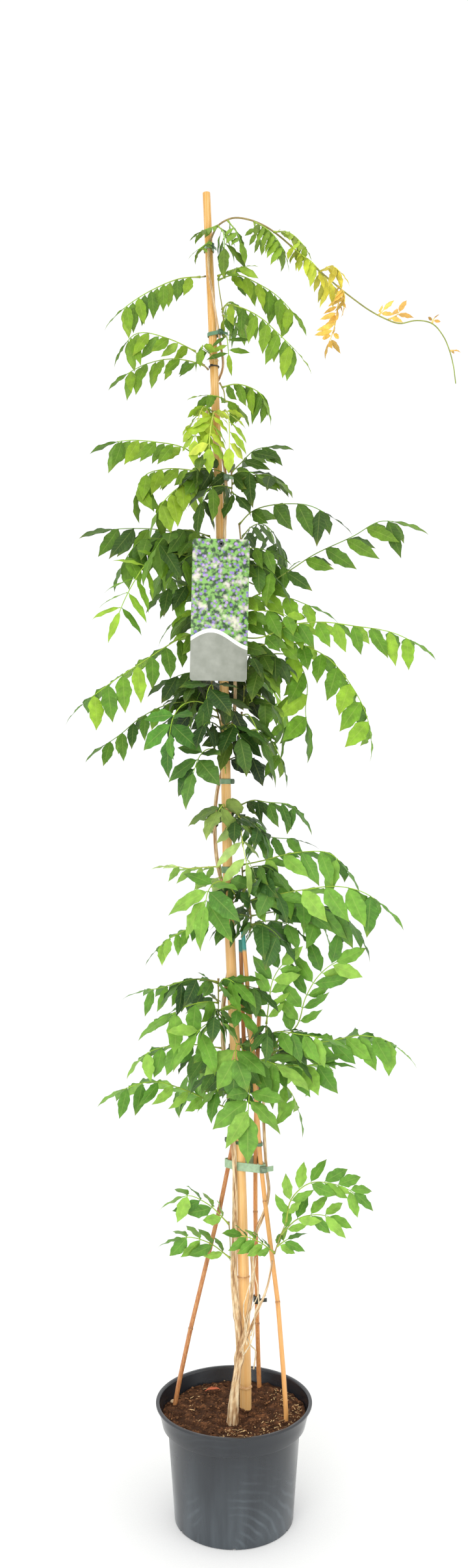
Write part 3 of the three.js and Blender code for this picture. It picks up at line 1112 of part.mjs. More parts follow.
// A frond's rib and its end leaflet alone, a little stouter, to keep other leaflets clear of them.
function ribSolid(layout) {
  const reach = layout.ribLength / layout.path.total;
  const stations = [0.04, 0.2, 0.4, 0.6, 0.8, 1].map((share) => [share * reach, 1.5]);
  const frame = layout.frameAt(layout.ribLength);
  const end = leafletPoints(frame, 0, layout.length, layout.width, 0, 0, 0, layout.endKey);
  return bar(layout.path, stations, 4).add(leafletSolid(end, 0));
}

// A frond as one closed shell: a four-sided rib whose edges open into the leaflets.
function frondSolid(layout, isClear) {
  const shell = new Shell();
  const kept = [];
  const ribEdge = (frame, sideways, rise, ahead) => {
    const p = frame.centre.clone().addScaledVector(frame.right, sideways * rachisHalfWidth);
    p.addScaledVector(frame.up, rise * rachisHalfHeight);
    p.addScaledVector(frame.heading, ahead * rachisHalfWidth);
    return shell.point(p);
  };
  const start = layout.frameAt(0);
  let last = {
    ridge: ribEdge(start, 0, 1, 0),
    keel: ribEdge(start, 0, -1, 0),
    left: ribEdge(start, -1, 0, 0),
    right: ribEdge(start, 1, 0, 0),
  };
  shell.triangle(last.ridge, last.left, last.keel);
  shell.triangle(last.ridge, last.keel, last.right);
  const join = (next) => {
    shell.quad(last.ridge, next.ridge, next.leftStart, last.left);
    shell.quad(last.ridge, last.right, next.rightStart, next.ridge);
    shell.quad(last.keel, last.left, next.leftStart, next.keel);
    shell.quad(last.keel, next.keel, next.rightStart, last.right);
  };
  const bareJoint = (s) => {
    const frame = layout.frameAt(s);
    const next = { ridge: ribEdge(frame, 0, 1, 0), keel: ribEdge(frame, 0, -1, 0) };
    next.leftStart = ribEdge(frame, -1, 0, 0);
    next.rightStart = ribEdge(frame, 1, 0, 0);
    join(next);
    last = { ridge: next.ridge, keel: next.keel, left: next.leftStart, right: next.rightStart };
  };
  const firstLeaf = layout.stations.length ? layout.stations[0].s : layout.ribLength;
  const bareJoints = Math.floor(firstLeaf / bareJointSpacing);
  for (let i = 1; i <= bareJoints; i++) bareJoint((firstLeaf * i) / (bareJoints + 1));
  for (const station of layout.stations) {
    const frame = layout.frameAt(station.s);
    const next = {
      ridge: ribEdge(frame, 0, 1, 0),
      keel: ribEdge(frame, 0, -1, 0),
      leftStart: ribEdge(frame, -1, 0, -1),
      rightStart: ribEdge(frame, 1, 0, -1),
      leftEnd: ribEdge(frame, -1, 0, 1),
      rightEnd: ribEdge(frame, 1, 0, 1),
    };
    join(next);
    for (const side of [-1, 1]) {
      const choices = leafletChoices(layout, station, side);
      const choice = choices.find((leaf) => isClear(leafletSolid(leaf, side), kept));
      const [from, to] = side < 0 ? [next.leftStart, next.leftEnd] : [next.rightStart, next.rightEnd];
      let rim = [];
      if (choice) {
        kept.push(leafletSolid(choice, side));
        rim = choice.rim.map((p) => shell.point(p));
      }
      const loop = side < 0 ? [to, ...rim, from] : [from, ...rim.slice().reverse(), to];
      if (choice) {
        shell.fan(shell.point(choice.above), [next.ridge, ...loop]);
        shell.fan(shell.point(choice.below), [next.keel, ...loop.slice().reverse()]);
      } else {
        shell.triangle(next.ridge, loop[0], loop[1]);
        shell.triangle(next.keel, loop[1], loop[0]);
      }
    }
    last = { ridge: next.ridge, keel: next.keel, left: next.leftEnd, right: next.rightEnd };
  }
  const frame = layout.frameAt(layout.ribLength);
  const next = { ridge: ribEdge(frame, 0, 1, 0), keel: ribEdge(frame, 0, -1, 0) };
  next.leftStart = ribEdge(frame, -1, 0, 0);
  next.rightStart = ribEdge(frame, 1, 0, 0);
  join(next);
  const end = leafletPoints(frame, 0, layout.length, layout.width, 0, 0, 0, layout.endKey);
  const rim = end.rim.map((p) => shell.point(p));
  shell.fan(shell.point(end.above), [next.ridge, next.rightStart, ...rim, next.leftStart]);
  shell.fan(shell.point(end.below), [next.keel, next.leftStart, ...rim.slice().reverse(), next.rightStart]);
  kept.push(leafletSolid(end, 0));
  return { solid: shell.solid(), leaflets: kept };
}

// Boxes that touch
function boxesMeet(a, b) {
  return [0, 1, 2].every((k) => a.min[k] < b.max[k] && b.min[k] < a.max[k]);
}

const group = new THREE.Group();
const finished = []; // solids already placed, with their boxes

function finish(name, solid, colour, roughness, metalness = 0) {
  const material = new THREE.MeshStandardMaterial({ color: colour, roughness, metalness });
  const mesh = new THREE.Mesh(geometryOf(solid), material);
  mesh.name = name;
  group.add(mesh);
  finished.push({ name, solid, box: solid.boundingBox() });
}

finish("pot", potSolid(), colours.pot, 0.45);
finish("soil", soilSolid(), colours.soil, 0.95);
finish("cane_main", canes.cane_main.solid, colours.bamboo, 0.5);
for (const name of ["cane_left", "cane_right", "cane_back"]) {
  finish(name, canes[name].solid, colours.thinCane, 0.55);
}
finish("stem_woody", woodyStem, colours.bark, 0.85);
for (const [name, tie] of Object.entries(ties)) {
  const dark = tie.round.length === 1 && tie.z < 1000;
  finish(name, tieSolid(tie), dark ? colours.darkTie : colours.tie, 0.5);
}
finish("label", labelSolid(), colours.label, 0.35);
finish("label_tie", labelTieSolid(), colours.darkTie, 0.5);

// Stalks and ribs first, so that each leaflet can be kept clear of all of them.
const ribs = [];
Object.values(shoots).forEach((shoot, index) => {
  const [radius, guide] = shoot.stalk;
  const path = smoothPath(guide.map(place));
  const joints = Math.max(2, Math.round(path.total / stalkJointSpacing));
  const stations = taper([radius, radius * 0.8, radius * 0.55], joints);
  shoot.body = bar(path, stations, 4);
  shoot.path = stretches(path, stations);
  ribs.push({ shoot, solid: shoot.body, box: shoot.body.boundingBox() });
  shoot.layouts = shoot.fronds.map((row, k) => frondLayout(row, 1000 * (index + 1) + 100 * k, shoot.path));
  for (const layout of shoot.layouts) {
    const solid = ribSolid(layout);
    ribs.push({ shoot, layout, solid, box: solid.boundingBox() });
  }
});

for (const [name, shoot] of Object.entries(shoots)) {
  const settled = [...finished];
  const ownLeaflets = [];
  let body = shoot.body;
  for (const layout of shoot.layouts) {
    const others = ribs.filter((rib) => rib.layout !== layout && (rib.shoot !== shoot || rib.layout));
    const isClear = (leaf, sameFrond) => {
      const box = leaf.boundingBox();
      const cross = (other, otherBox) => boxesMeet(box, otherBox) && leaf.intersect(other).volume() > 1e-3;
      if ([...settled, ...others].some((f) => cross(f.solid, f.box))) return false;
      return ![...ownLeaflets, ...sameFrond].some((other) => cross(other, other.boundingBox()));
    };
    const made = frondSolid(layout, isClear);
    ownLeaflets.push(...made.leaflets);
    body = body.add(made.solid);
  }
  finish(name, body, shoot.colour, 0.6);
}

export default group;
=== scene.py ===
import json
import math

import bpy
import numpy as np
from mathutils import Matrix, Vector, noise
from mathutils.bvhtree import BVHTree

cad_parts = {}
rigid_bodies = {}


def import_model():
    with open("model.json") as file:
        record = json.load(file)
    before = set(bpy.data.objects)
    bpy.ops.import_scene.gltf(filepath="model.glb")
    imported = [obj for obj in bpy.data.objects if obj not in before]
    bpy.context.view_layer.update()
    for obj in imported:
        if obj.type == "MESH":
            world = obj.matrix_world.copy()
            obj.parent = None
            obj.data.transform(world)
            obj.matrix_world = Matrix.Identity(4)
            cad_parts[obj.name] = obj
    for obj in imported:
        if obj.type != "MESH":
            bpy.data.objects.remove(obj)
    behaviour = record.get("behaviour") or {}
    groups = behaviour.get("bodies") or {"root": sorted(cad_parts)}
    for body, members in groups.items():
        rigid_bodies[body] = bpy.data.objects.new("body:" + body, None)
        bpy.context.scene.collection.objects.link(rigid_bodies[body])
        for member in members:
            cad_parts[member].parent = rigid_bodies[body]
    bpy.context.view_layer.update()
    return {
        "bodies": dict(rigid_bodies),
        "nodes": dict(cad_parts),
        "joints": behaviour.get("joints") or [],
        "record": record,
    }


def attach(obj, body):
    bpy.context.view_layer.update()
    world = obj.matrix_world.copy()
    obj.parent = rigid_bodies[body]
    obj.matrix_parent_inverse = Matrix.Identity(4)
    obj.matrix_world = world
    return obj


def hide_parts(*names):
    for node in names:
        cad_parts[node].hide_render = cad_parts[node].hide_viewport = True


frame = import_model()

# Lengths are millimetres here and become metres when a mesh is made.
toMetres = 0.001
viewerDistance = 2000
eyeHeight = 1125


# A point of the photo's plane, across and up, put at its depth on the same line of sight.
def place(point):
    x, z, y = point
    spread = 1 + y / viewerDistance
    return np.array((x * spread, y, eyeHeight + (z - eyeHeight) * spread))


# The same draw for the same number, between 0 and 1.
def draw(k):
    v = math.sin(k * 12.9898 + 4.137) * 43758.5453
    return v - math.floor(v)


def unit(v):
    return v / math.sqrt(v[0] ** 2 + v[1] ** 2 + v[2] ** 2)


def cross(a, b):
    return np.array((a[1] * b[2] - a[2] * b[1], a[2] * b[0] - a[0] * b[2], a[0] * b[1] - a[1] * b[0]))


# Smooth noise with waves of about this size.
def wobble(p, size):
    return noise.noise(Vector((p[0] / size, p[1] / size, p[2] / size)))


# A smooth path through the points, as a fine line with its running length.
class Route:
    def __init__(self, points, steps=8):
        points = [np.array(p, float) for p in points]
        gaps = [np.linalg.norm(b - a) for a, b in zip(points, points[1:])]
        slopes = []
        for i in range(len(points)):
            before = (points[i] - points[i - 1]) / gaps[i - 1] if i else None
            after = (points[i + 1] - points[i]) / gaps[i] if i < len(gaps) else None
            if before is None or after is None:
                slopes.append(after if before is None else before)
            else:
                both = gaps[i - 1] + gaps[i]
                slopes.append(before * gaps[i] / both + after * gaps[i - 1] / both)
        line = [points[0]]
        for i, h in enumerate(gaps):
            for k in range(1, steps + 1):
                u = k / steps
                line.append(
                    points[i] * (2 * u**3 - 3 * u**2 + 1)
                    + slopes[i] * h * (u**3 - 2 * u**2 + u)
                    + points[i + 1] * (3 * u**2 - 2 * u**3)
                    + slopes[i + 1] * h * (u**3 - u**2)
                )
        self.line = np.array(line)
        self.lengths = np.concatenate(([0], np.cumsum(np.linalg.norm(np.diff(self.line, axis=0), axis=1))))
        self.total = self.lengths[-1]

    def at(self, s):
        i = min(max(int(np.searchsorted(self.lengths, s)), 1), len(self.line) - 1)
        share = (s - self.lengths[i - 1]) / (self.lengths[i] - self.lengths[i - 1])
        return self.line[i - 1] + (self.line[i] - self.line[i - 1]) * share

    def heading(self, s):
        return unit(self.at(s + 2) - self.at(s - 2))

    # Centre and two cross directions at each stop, with no twist between stops.
    def frames(self, stops):
        axis = np.array((1.0, 0, 0))
        found = []
        for s in stops:
            heading = self.heading(s)
            axis = unit(axis - heading * axis.dot(heading))
            found.append((self.at(s), axis, cross(heading, axis)))
        return found

    # The length at which the path reaches a height.
    def crossing(self, height):
        low, high = 0, self.total
        for attempt in range(40):
            middle = (low + high) / 2
            if self.at(middle)[2] < height:
                low = middle
            else:
                high = middle
        return low


# Straight stretches between the points at these shares of the path.
def stretches(route, shares):
    return Route([route.at(share * route.total) for share in shares], 1)


# The radius at a share of the length, from radii that are evenly spaced along it.
def taper(radii, share):
    step = min(max(share, 0), 1) * (len(radii) - 1)
    k = min(int(step), len(radii) - 2)
    return radii[k] + (radii[k + 1] - radii[k]) * (step - k)


# Vertices, faces and the values at each vertex, gathered into one mesh.
class Piece:
    def __init__(self):
        self.points = []
        self.faces = []
        self.colours = []
        self.places = []
        self.sharp = []
        self.count = 0

    def add(self, points, faces, colours=(1, 1, 1), places=(0, 0, 0), sharp=False):
        n = len(points)
        start = self.count
        self.points.append(np.asarray(points, float))
        self.faces.extend([tuple(i + start for i in face) for face in faces])
        self.colours.append(np.broadcast_to(np.asarray(colours, float), (n, 3)))
        self.places.append(np.broadcast_to(np.asarray(places, float), (n, 3)))
        self.sharp.append(np.broadcast_to(np.asarray(sharp, bool), (n,)))
        self.count += n
        return start

    # Rings of the same number of points, joined side by side and closed at both ends.
    def tube(self, rings, **values):
        rings = np.asarray(rings, float)
        rows, sides = rings.shape[:2]
        faces = [tuple(range(sides))[::-1]]
        for i in range(rows - 1):
            for k in range(sides):
                a = i * sides + k
                b = i * sides + (k + 1) % sides
                faces.append((a, b, b + sides, a + sides))
        faces.append(tuple((rows - 1) * sides + k for k in range(sides)))
        return self.add(rings.reshape(-1, 3), faces, **values)

    def make(self, name, material, smooth=True):
        mesh = bpy.data.meshes.new(name)
        points = np.concatenate(self.points) * toMetres
        mesh.from_pydata(points.tolist(), [], self.faces)
        mesh.materials.append(material)
        mesh.polygons.foreach_set("use_smooth", np.full(len(mesh.polygons), smooth))
        colours = mesh.attributes.new("tint", "FLOAT_COLOR", "POINT")
        rgba = np.concatenate((np.concatenate(self.colours), np.ones((self.count, 1))), axis=1)
        colours.data.foreach_set("color", rgba.astype(np.float32).ravel())
        spots = mesh.attributes.new("spot", "FLOAT_VECTOR", "POINT")
        spots.data.foreach_set("vector", np.concatenate(self.places).astype(np.float32).ravel())
        flags = np.concatenate(self.sharp)
        if flags.any():
            pairs = np.zeros(len(mesh.edges) * 2, np.int32)
            mesh.edges.foreach_get("vertices", pairs)
            pairs = pairs.reshape(-1, 2)
            edges = mesh.attributes.new("sharp_edge", "BOOLEAN", "EDGE")
            edges.data.foreach_set("value", flags[pairs[:, 0]] & flags[pairs[:, 1]])
        mesh.update()
        made = bpy.data.objects.new(name, mesh)
        bpy.context.scene.collection.objects.link(made)
        return made


# A ring of points round a centre.
def circle(centre, across, other, radius, sides):
    around = [2 * math.pi * k / sides for k in range(sides)]
    return [centre + radius * (across * math.cos(a) + other * math.sin(a)) for a in around]


# Discs of points round an axis, as rings for a tube: the turn goes from the first direction to the second.
def discs(first, second, radius, sides, centres):
    around = np.arange(sides) * 2 * math.pi / sides
    disc = (np.outer(np.cos(around), first) + np.outer(np.sin(around), second)) * radius
    return [disc + centre for centre in centres]


# Cuts the tool out of a finished piece and takes the tool away.
def carve(made, tool):
    cut = made.modifiers.new("cut", "BOOLEAN")
    cut.object, cut.operation, cut.solver = tool, "DIFFERENCE", "EXACT"
    bpy.context.view_layer.update()
    solid = bpy.data.meshes.new_from_object(made.evaluated_get(bpy.context.evaluated_depsgraph_get()))
    made.modifiers.clear()
    made.data = solid
    bpy.data.objects.remove(tool)


# Edges where the surface turns by more than so many degrees are drawn crisp.
def markCreases(mesh, degrees):
    mesh.polygons.foreach_set("use_smooth", np.full(len(mesh.polygons), True))
    normals = {}
    for face in mesh.polygons:
        for key in face.edge_keys:
            normals.setdefault(key, []).append(face.normal)
    flags = np.zeros(len(mesh.edges), bool)
    limit = math.cos(math.radians(degrees))
    for i, edge in enumerate(mesh.edges):
        sides = normals.get(edge.key, ())
        flags[i] = len(sides) == 2 and sides[0].dot(sides[1]) < limit
    edges = mesh.attributes.get("sharp_edge") or mesh.attributes.new("sharp_edge", "BOOLEAN", "EDGE")
    edges.data.foreach_set("value", flags)


def show(made, slot, *nodes):
    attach(made, "root")
    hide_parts(*nodes)
    return made


# Colours are written as on a screen, 0 to 255, and used as linear light.
def light(*rgb):
    return tuple((c / 255 / 12.92) if c <= 10 else ((c / 255 + 0.055) / 1.055) ** 2.4 for c in rgb)


# A material with one surface shader, built from named nodes.
class Finish:
    def __init__(self, name, **values):
        self.material = bpy.data.materials.new(name)
        self.material.use_nodes = True
        self.tree = self.material.node_tree
        self.tree.nodes.clear()
        self.surface = self.tree.nodes.new("ShaderNodeBsdfPrincipled")
        output = self.tree.nodes.new("ShaderNodeOutputMaterial")
        self.tree.links.new(self.surface.outputs[0], output.inputs[0])
        self.set(self.surface, values)

    def set(self, node, inputs):
        for key, value in inputs.items():
            socket = node.inputs[key if isinstance(key, int) else key.replace("_", " ")]
            if isinstance(value, bpy.types.NodeSocket):
                self.tree.links.new(value, socket)
            elif isinstance(value, tuple) and socket.type == "RGBA":
                socket.default_value = (*value, 1)
            else:
                socket.default_value = value

    def node(self, kind, inputs=None, **settings):
        made = self.tree.nodes.new("ShaderNode" + kind)
        for key, value in settings.items():
            setattr(made, key, value)
        self.set(made, inputs or {})
        return made

    def attribute(self, name):
        return self.node("Attribute", attribute_name=name).outputs

    def position(self):
        return self.node("TexCoord").outputs["Object"]

    def stretched(self, vector, scale):
        return self.node("Mapping", {"Vector": vector, "Scale": scale}).outputs[0]

    def grain(self, scale, detail=3, vector=None, rough=0.5):
        inputs = {"Scale": scale, "Detail": detail, "Roughness": rough, "Vector": vector or self.position()}
        return self.node("TexNoise", inputs).outputs[0]

    def cells(self, scale, vector=None):
        return self.node("TexVoronoi", {"Scale": scale, "Vector": vector or self.position()}).outputs

    def ramp(self, value, *stops):
        made = self.node("ValToRGB", {0: value})
        elements = made.color_ramp.elements
        while len(elements) < len(stops):
            elements.new(0.5)
        for element, (where, colour) in zip(elements, stops):
            element.position = where
            element.color = (*colour, 1) if isinstance(colour, tuple) else (colour, colour, colour, 1)
        return made.outputs[0]

    def mix(self, share, a, b, blend="MIX"):
        made = self.node("Mix", data_type="RGBA", blend_type=blend)
        self.set(made, {0: share, 6: a, 7: b})
        return made.outputs[2]

    def sum(self, kind, a, b=0.0, clamp=False):
        return self.node("Math", {0: a, 1: b}, operation=kind, use_clamp=clamp).outputs[0]

    # Height in metres above the ground, 0 at the first and 1 at the second.
    def climb(self, low, high):
        height = self.node("SeparateXYZ", {0: self.position()}).outputs[2]
        return self.node("MapRange", {0: height, 1: low, 2: high}).outputs[0]

    def product(self, a, b):
        return self.sum("MULTIPLY", a, b)

    # The tint of each vertex, made darker and lighter by a ramp over some grain.
    def toned(self, grain, *stops):
        return self.mix(1.0, self.attribute("tint")[0], self.ramp(grain, *stops), "MULTIPLY")

    def bump(self, height, distance, strength):
        made = self.node("Bump", {"Height": height, "Distance": distance * toMetres, "Strength": strength})
        self.set(self.surface, {"Normal": made.outputs[0]})

    # The material, with its last inputs set.
    def done(self, **inputs):
        self.set(self.surface, inputs)
        return self.material


print("pot and soil")
potLook = {
    "rimRadius": 120, "height": 178, "lipHeight": 3.5, "collarTop": 116.5, "collarBottom": 109.5,
    "collarFrom": 144, "wallTop": 101.5, "footRadius": 91, "wall": 2, "floorTop": 5.5, "footRing": 9,
    "footRecess": 3, "padRadius": 24, "holes": 6, "holeRadius": 6, "holeCircle": 60, "notchWidth": 6,
    "notchHeight": 2.2, "rounding": 1.1, "segments": 168, "crease": 32,
    # worn is the pale colour of the faint mould arcs and of the upright streaks, which are a painted
    # reflection of the floor.
    "colour": (19, 23, 30), "worn": (116, 127, 134), "gloss": (0.16, 0.34),
}


# The outline with its corners rounded.
def roundedOutline(outline, cut, steps=3):
    made = [np.array(outline[0], float)]
    for before, corner, after in zip(outline, outline[1:], outline[2:]):
        before, corner, after = (np.array(p, float) for p in (before, corner, after))
        back, ahead = np.linalg.norm(before - corner), np.linalg.norm(after - corner)
        start = corner + (before - corner) * min(cut / back, 0.45)
        end = corner + (after - corner) * min(cut / ahead, 0.45)
        for k in range(steps + 1):
            u = k / steps
            made.append(start * (1 - u) ** 2 + corner * 2 * u * (1 - u) + end * u**2)
    made.append(np.array(outline[-1], float))
    return made


# The outline, radius and height, turned round the upright axis.
def lathe(piece, outline, segments, **values):
    rows = []
    for r, z in outline:
        angles = np.arange(segments) * 2 * math.pi / segments
        rows.append(np.stack((r * np.cos(angles), r * np.sin(angles), np.full(segments, z)), axis=1))
    return piece.tube(rows, **values)


def potPiece(look):
    top, lip = look["height"], look["height"] - look["lipHeight"]
    foot, wall = look["footRadius"], look["wall"]
    flare = look["wallTop"] - foot
    outline = [
        (1, 0), (look["padRadius"], 0), (look["padRadius"] + 2, look["footRecess"]),
        (foot - look["footRing"] - 2, look["footRecess"]), (foot - look["footRing"], 0), (foot, 0),
        (foot + 0.06 * flare, 9), (foot + 0.5 * flare, 72), (look["wallTop"], look["collarFrom"] - 1),
        (look["collarBottom"], look["collarFrom"]), (look["collarBottom"] + 3.5, look["collarFrom"] + 15),
        (look["collarTop"], lip), (look["rimRadius"], lip), (look["rimRadius"], top),
        (look["collarTop"] - 1.4, top), (look["collarTop"] - wall - 0.6, top - 2),
        (look["collarBottom"] - wall, look["collarFrom"] + 2),
        (look["wallTop"] - wall, look["collarFrom"] - 0.5),
        (foot - wall, look["floorTop"] + 1.5), (foot - wall - 2, look["floorTop"]), (1, look["floorTop"]),
    ]
    piece = Piece()
    lathe(piece, roundedOutline(outline, look["rounding"]), look["segments"])
    made = piece.make("potShape", potFinish(look))
    cutter = Piece()
    for i in range(look["holes"]):
        angle = 2 * math.pi * (i + 0.5) / look["holes"]
        out = np.array((math.cos(angle), math.sin(angle), 0))
        side = np.array((-out[1], out[0], 0))
        centres = [out * look["holeCircle"] + (0, 0, z) for z in (-10, 12)]
        cutter.tube(discs((1, 0, 0), (0, 1, 0), look["holeRadius"], 24, centres))
        half, rise = look["notchWidth"] / 2, look["notchHeight"]
        arch = [(-half, -3), (half, -3), (half, rise - 1), (half - 0.8, rise)]
        arch += [(0.8 - half, rise), (-half, rise - 1)]
        cutter.tube([[out * r + side * a + (0, 0, z) for a, z in arch] for r in (foot - 16, foot + 14)])
    carve(made, cutter.make("potCutter", made.data.materials[0], smooth=False))
    markCreases(made.data, look["crease"])
    return show(made, "pot", "pot")


# Dark plastic with faint arcs from the mould, and pale upright streaks that are strongest at the foot: a
# painted reflection of the pale floor.
def potFinish(look):
    finish = Finish("potPlastic")
    base, worn = light(*look["colour"]), light(*look["worn"])
    # The marks are strongest at the foot and fade upward, as the painted reflection of the floor does.
    low = finish.ramp(finish.climb(0.0, 0.15), (0.1, 1.0), (1.0, 0.12))
    streaks = finish.grain(1, 4, finish.stretched(finish.position(), (38, 38, 4)), 0.55)
    cloud = finish.grain(11, 3, rough=0.5)
    mould = {"Vector": finish.position(), "Scale": 26.0, "Distortion": 5.0, "Detail": 2.0}
    mould["Detail Scale"] = 0.8
    arcs = finish.node("TexWave", mould, wave_type="RINGS", rings_direction="Y").outputs[1]
    arcs = finish.ramp(arcs, (0.55, 0.0), (1.0, 1.0))
    lines = finish.product(arcs, finish.ramp(cloud, (0.5, 0.0), (0.68, 0.3)))
    # Pale upright streaks: painted reflection of the floor.
    paintedReflectionStreaks = finish.product(finish.ramp(streaks, (0.36, 0.3), (0.74, 0.8)), 0.5)
    mark = finish.product(finish.sum("ADD", paintedReflectionStreaks, lines, clamp=True), low)
    smooth, dull = look["gloss"]
    gloss = finish.ramp(cloud, (0.35, smooth), (0.7, dull))
    finish.bump(finish.grain(220, 2), 0.04, 0.4)
    return finish.done(Base_Color=finish.mix(mark, base, worn), Specular_IOR_Level=0.6, Roughness=gloss)


soilLook = {
    "level": 162, "edgeDrop": 3, "relief": 3.5, "across": 107.5, "edge": 110.4,
    "sunk": ((97.4, 142), (86.6, 6)),  # radius and height of the rings inside the pot
    "rings": 74, "steps": 216, "chips": 900, "chipSize": (0.9, 2.8), "chipReach": 106,
    "straws": 150, "strawLength": (2, 9), "strawReach": 104, "furthest": 107, "clods": 6,
    # dark is both the darkest tone of the chips and the soil's colour in painted shade, in its hollows and
    # along the pot wall.
    "colour": (152, 102, 66), "dark": (66, 41, 25), "chip": (166, 118, 80), "straw": (244, 206, 150),
    "dryLeaf": (206, 112, 78), "dryLeafSpot": (-34, 60), "clod": (214, 186, 150), "clodSpot": (-96, 27),
    "fleck": (196, 146, 98),
}


# The even top of the soil, as the solid has it.
def soilHeight(look, x, y):
    share = math.hypot(x, y) / look["across"]
    swell = math.sin(x * 0.061 + 1.3) * math.cos(y * 0.053 - 0.6)
    crumbs = math.sin(x * 0.19 + y * 0.11) * math.sin(y * 0.17 - x * 0.07 + 2)
    return (
        look["level"] + look["relief"] * (0.6 * swell + 0.4 * crumbs)
        - look["edgeDrop"] * share**4 + 0.018 * (x - y)
    )


# The same top with clods and crumbs.
def soilSurface(look, x, y):
    clods = noise.noise(Vector((x / 13, y / 13, 3))) * 1.7
    crumbs = abs(noise.noise(Vector((x / 4.2, y / 4.2, 7)))) * 2.6
    fine = noise.noise(Vector((x / 1.7, y / 1.7, 11))) * 0.7
    return soilHeight(look, x, y) + clods + crumbs + fine - 0.9


# A rough little stone or chip: a ball of bands, pulled long and flat, with an uneven surface.
def lump(piece, centre, size, seed, colour, bands=4, sides=7):
    turn = draw(seed) * 2 * math.pi
    long = unit(np.array((math.cos(turn), math.sin(turn), 0.5 * (draw(seed + 0.3) - 0.5))))
    side = unit(cross(np.array((0, 0, 1.0)), long))
    up = cross(long, side)
    shape = (1, 0.5 + 0.4 * draw(seed + 0.6), 0.3 + 0.4 * draw(seed + 0.9))
    rings = []
    for i in range(bands + 1):
        polar = math.pi * (0.06 + 0.88 * i / bands)
        ring = []
        for k in range(sides):
            angle = 2 * math.pi * (k + 0.5 * (i % 2)) / sides
            rough = 0.72 + 0.5 * draw(seed + i * 1.7 + k * 0.37)
            local = (
                -math.cos(polar) * shape[0],
                math.sin(polar) * math.cos(angle) * shape[1] * rough,
                math.sin(polar) * math.sin(angle) * shape[2] * rough,
            )
            ring.append(centre + size * (long * local[0] + side * local[1] + up * local[2]))
        rings.append(ring)
    piece.tube(rings, colours=colour)


def soilPiece(look):
    piece = Piece()
    topRadius, steps = look["edge"], look["steps"]
    angles = [2 * math.pi * k / steps for k in range(steps)]
    dark, colour = (np.array(light(*look[key])) for key in ("dark", "colour"))
    rows, tints = [], []
    for i in range(look["rings"]):
        radius = max(topRadius * (i + 0.02) / (look["rings"] - 1), 0.4)
        row = []
        for a in angles:
            x, y = radius * math.cos(a), radius * math.sin(a)
            even = soilHeight(look, x, y)
            z = soilSurface(look, x, y) if radius < topRadius - 0.5 else even - 1.5
            row.append((x, y, z))
            # The soil is painted darker in its hollows and at its edge against the pot wall, as shade.
            tints.append(dark + (colour - dark) * min(max((z - even + 0.6) / 3, 0), 1))
        rows.append(row)
    # The sides down inside the pot take the dark colour, as painted shade.
    for radius, z in look["sunk"]:
        rows.append([(radius * math.cos(a), radius * math.sin(a), z) for a in angles])
        tints.extend([dark] * steps)
    piece.tube(rows, colours=np.array(tints))
    for i in range(look["chips"]):
        addChip(piece, look, i)
    for i in range(look["straws"]):
        addStraw(piece, look, i)
    for i in range(look["clods"]):
        spot = np.array((*look["clodSpot"], 0.0)) + (5 * draw(i + 61.5), 6 * draw(i + 62.5), 0)
        spot[2] = soilHeight(look, *spot[:2]) + 2.5 + 2 * draw(i + 63.5)
        colour = np.array(light(*look["clod"])) * (0.8 + 0.3 * draw(i))
        lump(piece, spot, 3 + 2 * draw(i + 64.5), i + 400, colour)
    addDryLeaf(piece, look)
    return show(piece.make("soilShape", soilFinish(look)), "soil", "soil")


def addChip(piece, look, i):
    dark, chip = (np.array(light(*look[key])) for key in ("dark", "chip"))
    small, large = look["chipSize"]
    radius = look["chipReach"] * math.sqrt(draw(i + 0.5))
    angle = 2 * math.pi * draw(i + 900.5)
    x, y = radius * math.cos(angle), radius * math.sin(angle)
    size = small + (large - small) * draw(i + 300.5) ** 3
    pale = draw(i + 600.5) ** 2.2
    height = soilHeight(look, x, y) + 0.35 * size
    lump(piece, np.array((x, y, height)), size, i * 1.31 + 5, dark + (chip - dark) * pale)


# Most straws lie at the right and the front, where the photo shows them.
def addStraw(piece, look, i):
    angle = math.radians(-105 + 150 * draw(i + 51.2)) if i % 5 else 2 * math.pi * draw(i + 77.7)
    radius = look["strawReach"] * math.sqrt(0.38 + 0.6 * draw(i + 20.4))
    short, long = look["strawLength"]
    length = short + (long - short) * draw(i + 33.1) ** 2
    turn = 2 * math.pi * draw(i + 44.9)
    ends = []
    for k in (-1, 0, 1):
        x = radius * math.cos(angle) + k * length / 2 * math.cos(turn)
        y = radius * math.sin(angle) + k * length / 2 * math.sin(turn)
        reach = math.hypot(x, y)
        if reach > look["furthest"]:
            x, y = x * look["furthest"] / reach, y * look["furthest"] / reach
        ends.append((x, y, soilHeight(look, x, y) + 1.4 + 1.4 * draw(i + k + 3.3)))
    path = Route(ends, 3)
    wide = 0.35 + 0.45 * draw(i + 8.8)
    around = [2 * math.pi * k / 5 for k in range(5)]
    rings = []
    for centre, across, other in path.frames(np.linspace(0, path.total, 6)):
        ring = [across * wide * math.cos(a) + other * 0.5 * wide * math.sin(a) for a in around]
        rings.append([centre + out for out in ring])
    piece.tube(rings, colours=np.array(light(*look["straw"])) * (0.45 + 0.55 * draw(i + 12.9)))


